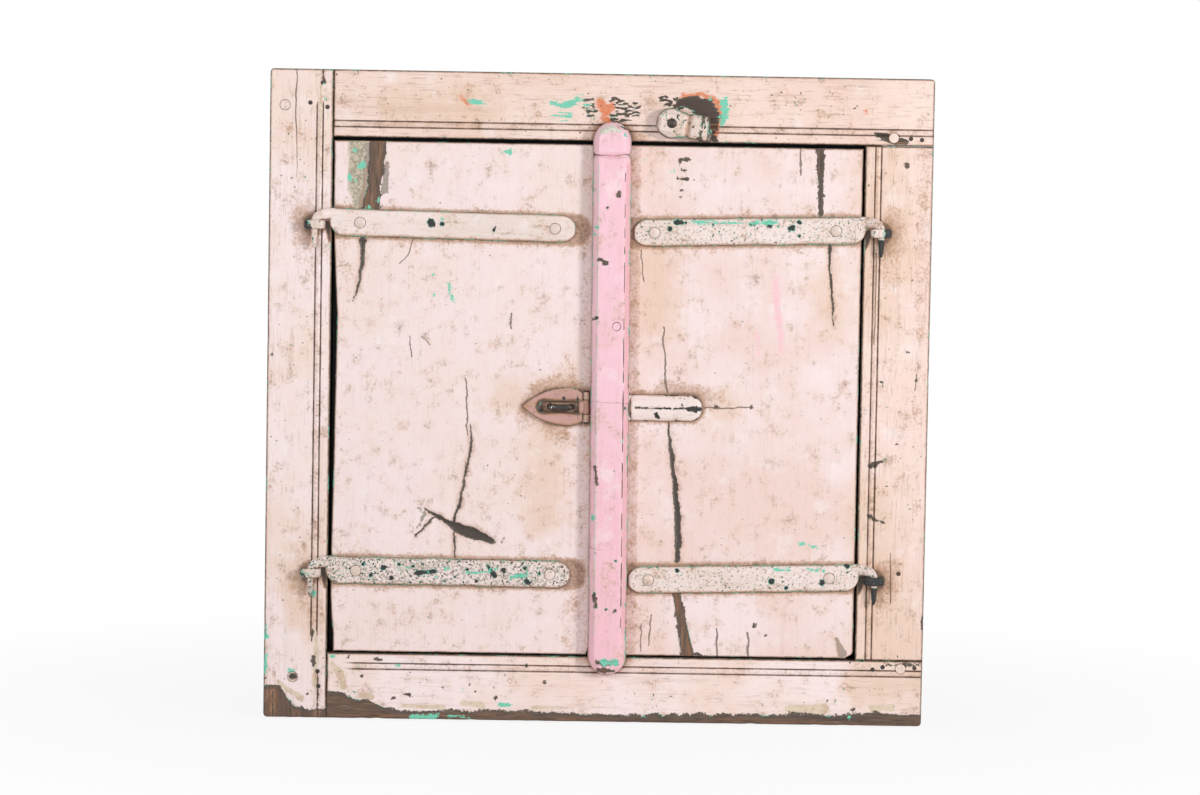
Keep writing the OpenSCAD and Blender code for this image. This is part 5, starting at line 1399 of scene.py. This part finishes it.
class SHUTTER_OT_hasp(bpy.types.Operator):
    """The hasp: leaf-shaped slotted plate, rolled knuckles, half-round tail and the staple it closes
    over"""

    bl_idname = "shutter.hasp"
    bl_label = "Hasp"

    def execute(self, context):
        paint = context.scene.shutter_paint
        pin_lo, pin_hi = box_mm("hasp_pin")
        pin = (pin_lo + pin_hi) / 2
        eye_lo, eye_hi = box_mm("hasp_staple")
        eye_x = (eye_lo[0] + eye_hi[0]) / 2
        dull = painted(
            "Dull paint on the hasp plate", paint.hasp, linear("#C4968E"), UP, base="iron", seed=5.2,
            specks=1.5, chips=0.5, grit=1.8, outlined=0.6,
        )
        cream = painted(
            "Painted hasp strap", paint.cream, linear("#F6E8E2"), ALONG, base="iron", seed=6.3, outlined=0.35
        )
        plate = self.plate(pin, eye_x, box_mm("hasp_plate")[0][0])
        tongue = plain_slab(
            np.array([-7.05, -6.5, 0, 6.5, 7.05]), np.linspace(pin[0] - 8, pin[0], 7), 3.0, 0.5,
            lambda a, s, out: (a, pin[1] + 1.5 - out, pin[2] + s),
        )
        mesh = make_mesh("hasp_plate", [plate, self.knuckle(pin, -7.0, 7.0, 50), tongue], FIELDS)
        piece("hasp_plate_forged", mesh, dull, "hasp", ["hasp_plate"])
        mesh = make_mesh("hasp_tail", self.tail(pin, box_mm("hasp_tail")[1][0]), FIELDS)
        piece("hasp_tail_forged", mesh, cream, "right_leaf", ["hasp_tail"])

        # The staple: round iron bent twice
        radius, count = 3.2, 80
        front, leg = eye_lo[1] + radius, (eye_hi[0] - eye_lo[0]) / 2 - radius
        half_route = [
            (-leg, LEAF_FRONT + 6), (-leg, LEAF_FRONT), (-leg, front + 6), (-leg + 1.5, front + 1.5),
            (-leg + 6, front),
        ]
        route = [*half_route, (0, front), *((-u, y) for u, y in reversed(half_route))]
        path = catmull([(eye_x + u, y, pin[2]) for u, y in route], count)
        thick = np.full(count, radius * 0.97)
        tube = sweep(path, thick, thick, np.array([0.0, 0.0, 1.0]), power=2.2, dent=0.03, seed=60)
        iron = bare_iron("Worn iron of the hasp staple", 0.05)
        mesh = make_mesh("hasp_staple", [(tube, {})])
        piece("hasp_staple_forged", mesh, iron, "left_leaf", ["hasp_staple"])
        dress(iron, "hasp_pin", "hasp_tail_nails")
        return {"FINISHED"}

    def plate(self, pin, eye_x, tip):
        """The plate and its fields. Rays from the slot's middle run from the slot's rounded box, a
        superellipse of power 6, out to the nearest of two circles that cross at the tip, an oval behind the
        waist and the barrel."""
        pin_x, pin_y, mid = pin
        turn = np.linspace(0, 2 * np.pi, 240, endpoint=False)
        c, s = np.cos(turn), np.sin(turn)
        half, waist, oval_long = 19.4, pin_x - 17, 19.5
        away = eye_x - waist
        arc = ((waist - tip) ** 2 + half**2) / (2 * half)
        limits = []
        for side in (1, -1):
            off_z = side * (arc - half)
            b = c * away + s * off_z
            limits.append(-b + np.sqrt(b**2 - (away**2 + off_z**2 - arc**2)))
        limits.append((pin_x - 3.6 - eye_x) / np.where(c > 1e-3, c, 1e-3))
        qa, qb = (c / oval_long) ** 2 + (s / half) ** 2, 2 * away * c / oval_long**2
        oval = (-qb + np.sqrt(qb**2 - 4 * qa * ((away / oval_long) ** 2 - 1))) / (2 * qa)
        limits.append(np.where(eye_x + c * oval > waist, oval, 99))
        outer = np.minimum.reduce(limits)
        inner = (np.abs(c / 20.0) ** 6 + np.abs(s / 5.3) ** 6) ** (-1 / 6)
        across = positions(0, 1, 0.08, edge=(0.012, 0.03, 0.06), least=0.004)
        rim = np.minimum(across, 1 - across)[None, :] * (outer - inner)[:, None]
        far = inner[:, None] + (outer - inner)[:, None] * across[None, :]
        x, z = eye_x + c[:, None] * far, mid + s[:, None] * far
        rear = pin_y + 1.5
        out = 3.0 - quarter_round(rim, 0.9) - 0.12 * (1 + waves(x, z, 14, 41))
        front = np.stack([x, rear - out, z], axis=-1)
        back = np.stack([x, np.full_like(x, rear), z], axis=-1)[:, ::-1]
        ring = np.concatenate([front, back], axis=1)
        ring = np.concatenate([ring, ring[:1]], axis=0)
        x, z = ring[..., 0], ring[..., 2]

        chips = [
            [(pin_x - 9, mid + 14, 0.3), (pin_x - 8, mid - 14, 0.3)], [(eye_x + 3, mid + 8, 1.6)],
            [(tip + 9, mid, 0.8)], [(eye_x - 21, mid - 4, 1.8)], [(eye_x + 20, mid - 5, 1.6)],
            [(eye_x - 22, mid + 5, 1)],
        ]
        slot = [[(eye_x - 17, mid, 6.4), (eye_x, mid, 5.2), (eye_x + 17, mid, 6.4)]]
        fields = {key: field(x, z) for key, field in wear_fields(chips).items()}
        near = FAR - np.concatenate([rim, rim[:, ::-1] + 1], axis=1)
        fields["edge"] = np.concatenate([near, near[:1]], axis=0)
        # Painted shadow along the plate's lower rim (low), with dirt round the slot and at the tip
        low = np.clip((mid - z - 9) / 9, 0, 1) * bell(FAR - fields["edge"], 3)
        fields["dirt"] = 0.2 + 1.9 * beside(x, z, slot, 2.2) + 0.8 * bell(x - tip, 9) + 1.4 * low
        return ring, fields

    def knuckle(self, pin, low, high, seed):
        """A rolled knuckle round the pin: a tube whose ends are slightly rounded, and its fields."""
        path = np.linspace([pin[0], pin[1], pin[2] + low], [pin[0], pin[1], pin[2] + high], 14)
        size = 3.05 * np.sqrt(np.clip(1 - (np.abs(np.linspace(-1, 1, 14)) ** 10) * 0.35, 0, 1))
        tube = sweep(path, size, size, np.array([0.0, 1.0, 0.0]), power=2.0, dent=0.02, seed=seed)
        return tube, {"dirt": np.full(tube.shape[:2], 0.8)}

    def tail(self, pin, end):
        """The tail's blocks: a half-round bar with a round end, flat where the cover strip lies on it, the
        webs that join it to two knuckles, and the knuckles."""
        pin_x, _, mid = pin
        half, start, flat_half, web = 13.6, 31.9, 13.5, (7.6, 13.4)

        def arch(u):
            """Half the bar's width: straight, with a round end and a slightly worn edge."""
            return np.maximum(arched(end - u, half) - 0.15 * (1 + waves(u, 0 * u, 20, 44)), 0)

        def ridge(v, u, edge):
            """A parabola across the bar, sinking with a cube over its round end, with fine dents."""
            crown = 1.0 + 4.9 * (1 - np.clip(np.abs(v - mid) / half, 0, 1) ** 2.0)
            toe = 4.9 * (np.clip(1 - (end - u) / half, 0, 1)) ** 3 * 0.6
            return np.maximum(crown - toe - 0.14 * (1 + waves(u, v, 12, 43)) - quarter_round(edge, 0.8), 0.3)

        place = level(LEAF_FRONT)
        along, across = positions(start, end, 1.6, [(end - 15, end, 0.6)]), positions(-half, half, 1.1)
        points, values = slab(
            along, across, lambda u: mid - arch(u), lambda u: mid + arch(u), ridge, place,
            wear_fields(TAIL_CHIPS),
        )
        values["dirt"] = 0.8 * bell(np.clip(FAR - values["edge"], 0, FAR), 2.6)
        flat = plain_slab(
            positions(pin_x + 3.6, 34.0, 3.0), mid + positions(-flat_half, flat_half, 2.0), 3.1, 0.5, place
        )
        webs = [
            plain_slab(np.linspace(pin_x, pin_x + 4.5, 5), mid + positions(a, b, 1.0), 3.1, 0.3, place)
            for a, b in ((-web[1], -web[0]), web)
        ]
        knuckles = [self.knuckle(pin, -15.0, -7.5, 51), self.knuckle(pin, 7.5, 15.0, 52)]
        return [(points, values), flat, *webs, *knuckles]


class SHUTTER_OT_turn_button(bpy.types.Operator):
    """The carved turn button on its nail"""

    bl_idname = "shutter.turn_button"
    bl_label = "Turn button"

    def execute(self, context):
        paint = context.scene.shutter_paint
        pivot_lo, pivot_hi = box_mm("button_pivot")
        x0, _, z0 = (pivot_lo + pivot_hi) / 2
        low, high = box_mm("turn_button_block")
        base, thick = high[1], high[1] - low[1]
        head, half = 15.2, 12.6  # radius of its round head, half the width of its tail
        neck, slant, end = 16.5, 36.5, 41.4  # how far from the pivot the neck, the slant and the end are
        sin, cos = math.sin(BUTTON_TURN), math.cos(BUTTON_TURN)

        def side(s, sign):
            """A round head, a notched neck and a straight tail, cut off at a slant on one side."""
            round_head = np.sqrt(np.clip(head**2 - s**2, 0, None))
            cut = half * (1 - 2 * (s - slant) / (end - slant))
            tail = np.where(s > slant, cut, half) if sign > 0 else half
            pinch = 1.6 * np.clip(1 - np.abs(s - neck) / 3.2, 0, 1)
            return sign * (np.where(s > 3, np.maximum(round_head, tail), round_head) - pinch)

        def height(v, s, edge):
            """A stepped ridge along its length, bevelled sides, rounded edges and fine dents."""
            ridge = np.interp(
                s, [-head, -11, 12, neck, 20, 29, end],
                [9.5, thick - 1.4, thick - 1.4, thick - 4.3, thick, thick, 8.0],
            )
            bevel = 5.0 * (1 - np.clip((half + 1.0 - np.abs(v)) / 5.5, 0, 1))
            return np.maximum(ridge - bevel - quarter_round(edge, 1.2) - 0.15 * (1 + waves(s, v, 9, 71)), 2)

        def place(v, s, out):
            """The button's own across and along, turned about its pivot."""
            return x0 + s * sin + v * cos, base - out, z0 - s * cos + v * sin

        along, across = positions(-head, end, 0.8), positions(-head, head, 0.9, edge=(0.4,))
        points, values = slab(along, across, lambda s: side(s, -1), lambda s: side(s, 1), height, place, {})
        x, z = points[..., 0], points[..., 2]
        far = (x - x0) * sin - (z - z0) * cos
        dark_line = np.abs(far - 30) + 1.2 * waves(x, z, 8, 78) - 1.2
        values["bare"] = FAR - np.minimum(np.clip(dark_line, -5, 40), np.clip(36 - far, -1.5, 40))
        values["dirt"] = np.maximum(values["dirt"], 0.3 + 0.7 * bell(far - neck, 2.5))
        values["speck"] = np.full(points.shape[:2], 0.45)
        mesh = make_mesh("turn_button_block", [(points, values)], FIELDS)
        material = painted(
            "Chipped paint on the turn button", paint.cream, linear("#E6D3C8"), EVERY_WAY, seed=7.7,
            chips=0.9, teal_share=0.3, grit=1.3, specks=1.6,
        )
        piece("turn_button_carved", mesh, material, "turn_button", ["turn_button_block"])
        dress(bare_iron("Dark pivot nail", 0.0), "button_pivot")
        return {"FINISHED"}


class SHUTTER_OT_back(bpy.types.Operator):
    """What shows with the leaves open and from behind: mirror, ledges, backing board, hangers"""

    bl_idname = "shutter.back"
    bl_label = "Mirror and back"

    def execute(self, context):
        ledges = [f"{hand}_{row}_ledge" for hand in HINGE_X for row in STRAP_Z]
        dress(silvered_glass(), "mirror_glass")
        dress(bare_timber("Rough sawn ledge", "#A98A6B", "#7E634B", (0.05, 1, 1)), *ledges)
        dress(bare_timber("Backing board", "#B99B78", "#96795A", (1, 1, 0.05)), "backing_board")
        dress(zinc(), "backing_screws", "left_hanger_plate", "right_hanger_plate", "hanger_screws")
        dress(bare_iron("Clenched nail", 0.0), "left_ledge_nails", "right_ledge_nails")
        return {"FINISHED"}


def seen_rays(tree):
    """1 for the rays by which the stage is seen, straight, in a reflection or through glass, and 0 for its
    light."""
    paths, seen = add(tree, "ShaderNodeLightPath"), 0.0
    for kind in ("Is Camera Ray", "Is Glossy Ray", "Is Transmission Ray"):
        seen = add(tree, MATH, (seen, paths.outputs[kind]), operation="MAXIMUM")
    return seen


class SHUTTER_OT_stage(bpy.types.Operator):
    """Plain floor, soft lamps and the camera at the photograph's angle"""

    bl_idname = "shutter.stage"
    bl_label = "Stage"

    def execute(self, context):
        stage = context.scene.shutter_stage
        scene = context.scene
        radius, corners = 3.0, 64  # a round floor, in metres, 1 mm under the model
        turn = np.linspace(0, 2 * np.pi, corners, endpoint=False)
        level_z = np.full(corners, cad_bounds[0][2] - 0.001)
        ring = np.stack([radius * np.cos(turn), radius * np.sin(turn), level_z], axis=-1)
        mesh = bpy.data.meshes.new("floor")
        mesh.from_pydata(ring.tolist(), [], [list(range(corners))])
        floor = bpy.data.objects.new("floor", mesh)
        scene.collection.objects.link(floor)
        material = bpy.data.materials.new("Matt white floor")
        material.use_nodes = True
        tree = material.node_tree
        tree.nodes.clear()
        place = add(tree, "ShaderNodeTexCoord").outputs["Object"]
        far = add(tree, VECTOR, (place,), operation="LENGTH").outputs["Value"]
        fade = add(tree, RANGE, {"Value": far, "From Min": 0.3, "From Max": 1.0, "To Min": 0.85})
        share = add(tree, MATH, (seen_rays(tree), fade), operation="MULTIPLY")
        plain = add(tree, "ShaderNodeBsdfDiffuse", {"Color": (0.9, 0.9, 0.9, 1)})
        white = add(tree, "ShaderNodeEmission", {"Color": (1, 1, 1, 1), "Strength": 1.0})
        mixed = add(tree, "ShaderNodeMixShader", {0: share, 1: plain, 2: white})
        add(tree, "ShaderNodeOutputMaterial", {"Surface": mixed})
        mesh.materials.append(material)

        world = bpy.data.worlds.new("Even sky")
        scene.world = world
        world.use_nodes = True
        tree = world.node_tree
        tree.nodes.clear()
        seen = seen_rays(tree)
        sky = add(tree, "ShaderNodeBackground", {"Color": (1, 1, 1, 1), "Strength": stage.sky})
        white = add(tree, "ShaderNodeBackground", {"Color": (1, 1, 1, 1), "Strength": 1.0})
        mixed = add(tree, "ShaderNodeMixShader", {0: seen, 1: sky, 2: white})
        add(tree, "ShaderNodeOutputWorld", {"Surface": mixed})

        lamps = (  # name, place and size in metres, and power
            ("key", (1.85, -1.85, 0.6), 0.36, stage.key),
            ("fill", (-1.3, -1.95, 0.7), 0.5, stage.fill),
        )
        for name, where, size, power in lamps:
            light = bpy.data.lights.new(name, "AREA")
            light.size, light.energy = size, power
            lamp = bpy.data.objects.new(name, light)
            lamp.location = where
            aim = np.array([0, -0.05, 0]) - np.array(where)  # at the middle of the model
            lamp.rotation_euler = Vector(aim).to_track_quat("-Z", "Y").to_euler()
            scene.collection.objects.link(lamp)

        sensor = 36.0  # width in millimetres
        camera = bpy.data.cameras.new("camera")
        camera.lens, camera.sensor_width = stage.lens / MM, sensor
        holder = bpy.data.objects.new("camera", camera)
        holder.matrix_world = Matrix(fit_camera(stage.lens / MM / sensor))
        scene.collection.objects.link(holder)
        scene.camera = holder
        scene.view_settings.view_transform = "Standard"
        return {"FINISHED"}


# Pixels of the frame's front corners in the picture: top left, top right, bottom right, bottom left
PICTURE_SIZE = (1200, 795)
PICTURE_CORNERS = ((270, 67), (935, 80), (921, 727), (264, 717))


def fit_camera(lens):
    """Least squares by Gauss-Newton steps: the place and turn at which the frame's four front corners fall
    on their pixels. lens is the focal length over the picture's width."""
    low, high = box_mm("left_stile")
    right = box_mm("top_rail")[1][0]
    corners = np.array([(low[0], high[2]), (right, high[2]), (right, low[2]), (low[0], low[2])])
    corners = np.stack([corners[:, 0], np.full(4, FRONT), corners[:, 1]], axis=-1) * MM
    wanted = np.array(PICTURE_CORNERS, float)
    width, tall = PICTURE_SIZE

    def turned(angles):
        """Pitch, yaw and roll as a matrix."""
        cp, cy, cr = np.cos(angles)
        sp, sy, sr = np.sin(angles)
        about_x = np.array([[1, 0, 0], [0, cp, -sp], [0, sp, cp]])
        about_z = np.array([[cy, -sy, 0], [sy, cy, 0], [0, 0, 1]])
        about_view = np.array([[cr, -sr, 0], [sr, cr, 0], [0, 0, 1]])
        return about_z @ about_x @ about_view

    def miss(values):
        """How far each corner falls from its pixel, as x and y in turn."""
        basis = turned(values[3:])
        local = (corners - values[:3]) @ basis
        u = width / 2 + width * lens * local[:, 0] / -local[:, 2]
        v = tall / 2 - width * lens * local[:, 1] / -local[:, 2]
        return (np.stack([u, v], axis=-1) - wanted).ravel()

    # It starts level, in front, about where the frame fills the picture
    values = np.array([0, -1.18 * lens, 0, math.pi / 2, 0, 0])
    nudge, allowed = 1e-5, 3.0  # a small change to find slopes with, and the largest miss in pixels
    for _ in range(40):
        here = miss(values)
        slopes = np.stack([(miss(values + nudge * row) - here) / nudge for row in np.eye(6)], axis=-1)
        values = values - np.linalg.lstsq(slopes, here, rcond=None)[0]
    if np.abs(miss(values)).max() > allowed:
        raise ValueError("The camera's place doesn't bring the frame's corners onto their pixels")
    matrix = np.eye(4)
    matrix[:3, :3], matrix[:3, 3] = turned(values[3:]), values[:3]
    return matrix.tolist()


class SHUTTER_PT_panel(bpy.types.Panel):
    """Lists the pieces, in the order in which they are made"""

    bl_label = "Shutter mirror"
    bl_space_type = "VIEW_3D"
    bl_region_type = "UI"
    bl_category = "Shutter mirror"

    def draw(self, context):
        for operator in OPERATORS:
            self.layout.operator(operator.bl_idname)
        for group in (context.scene.shutter_paint, context.scene.shutter_shape, context.scene.shutter_stage):
            for key in group.__annotations__:
                self.layout.prop(group, key)


OPERATORS = (
    SHUTTER_OT_stage, SHUTTER_OT_frame, SHUTTER_OT_leaves, SHUTTER_OT_cover_strip, SHUTTER_OT_straps,
    SHUTTER_OT_hasp, SHUTTER_OT_turn_button, SHUTTER_OT_back,
)
GROUPS = (
    ("shutter_paint", PaintSettings), ("shutter_shape", ShapeSettings), ("shutter_stage", StageSettings)
)


def register():
    for name, group in GROUPS:
        bpy.utils.register_class(group)
        setattr(bpy.types.Scene, name, bpy.props.PointerProperty(type=group))
    for item in (*OPERATORS, SHUTTER_PT_panel):
        bpy.utils.register_class(item)


def unregister():
    for item in (SHUTTER_PT_panel, *reversed(OPERATORS)):
        bpy.utils.unregister_class(item)
    for name, group in reversed(GROUPS):
        delattr(bpy.types.Scene, name)
        bpy.utils.unregister_class(group)


def main():
    """Makes every piece in order."""
    register()
    bpy.ops.shutter.stage()
    bpy.ops.shutter.frame()
    bpy.ops.shutter.leaves()
    bpy.ops.shutter.cover_strip()
    bpy.ops.shutter.straps()
    bpy.ops.shutter.hasp()
    bpy.ops.shutter.turn_button()
    bpy.ops.shutter.back()


if __name__ == "__main__":
    main()
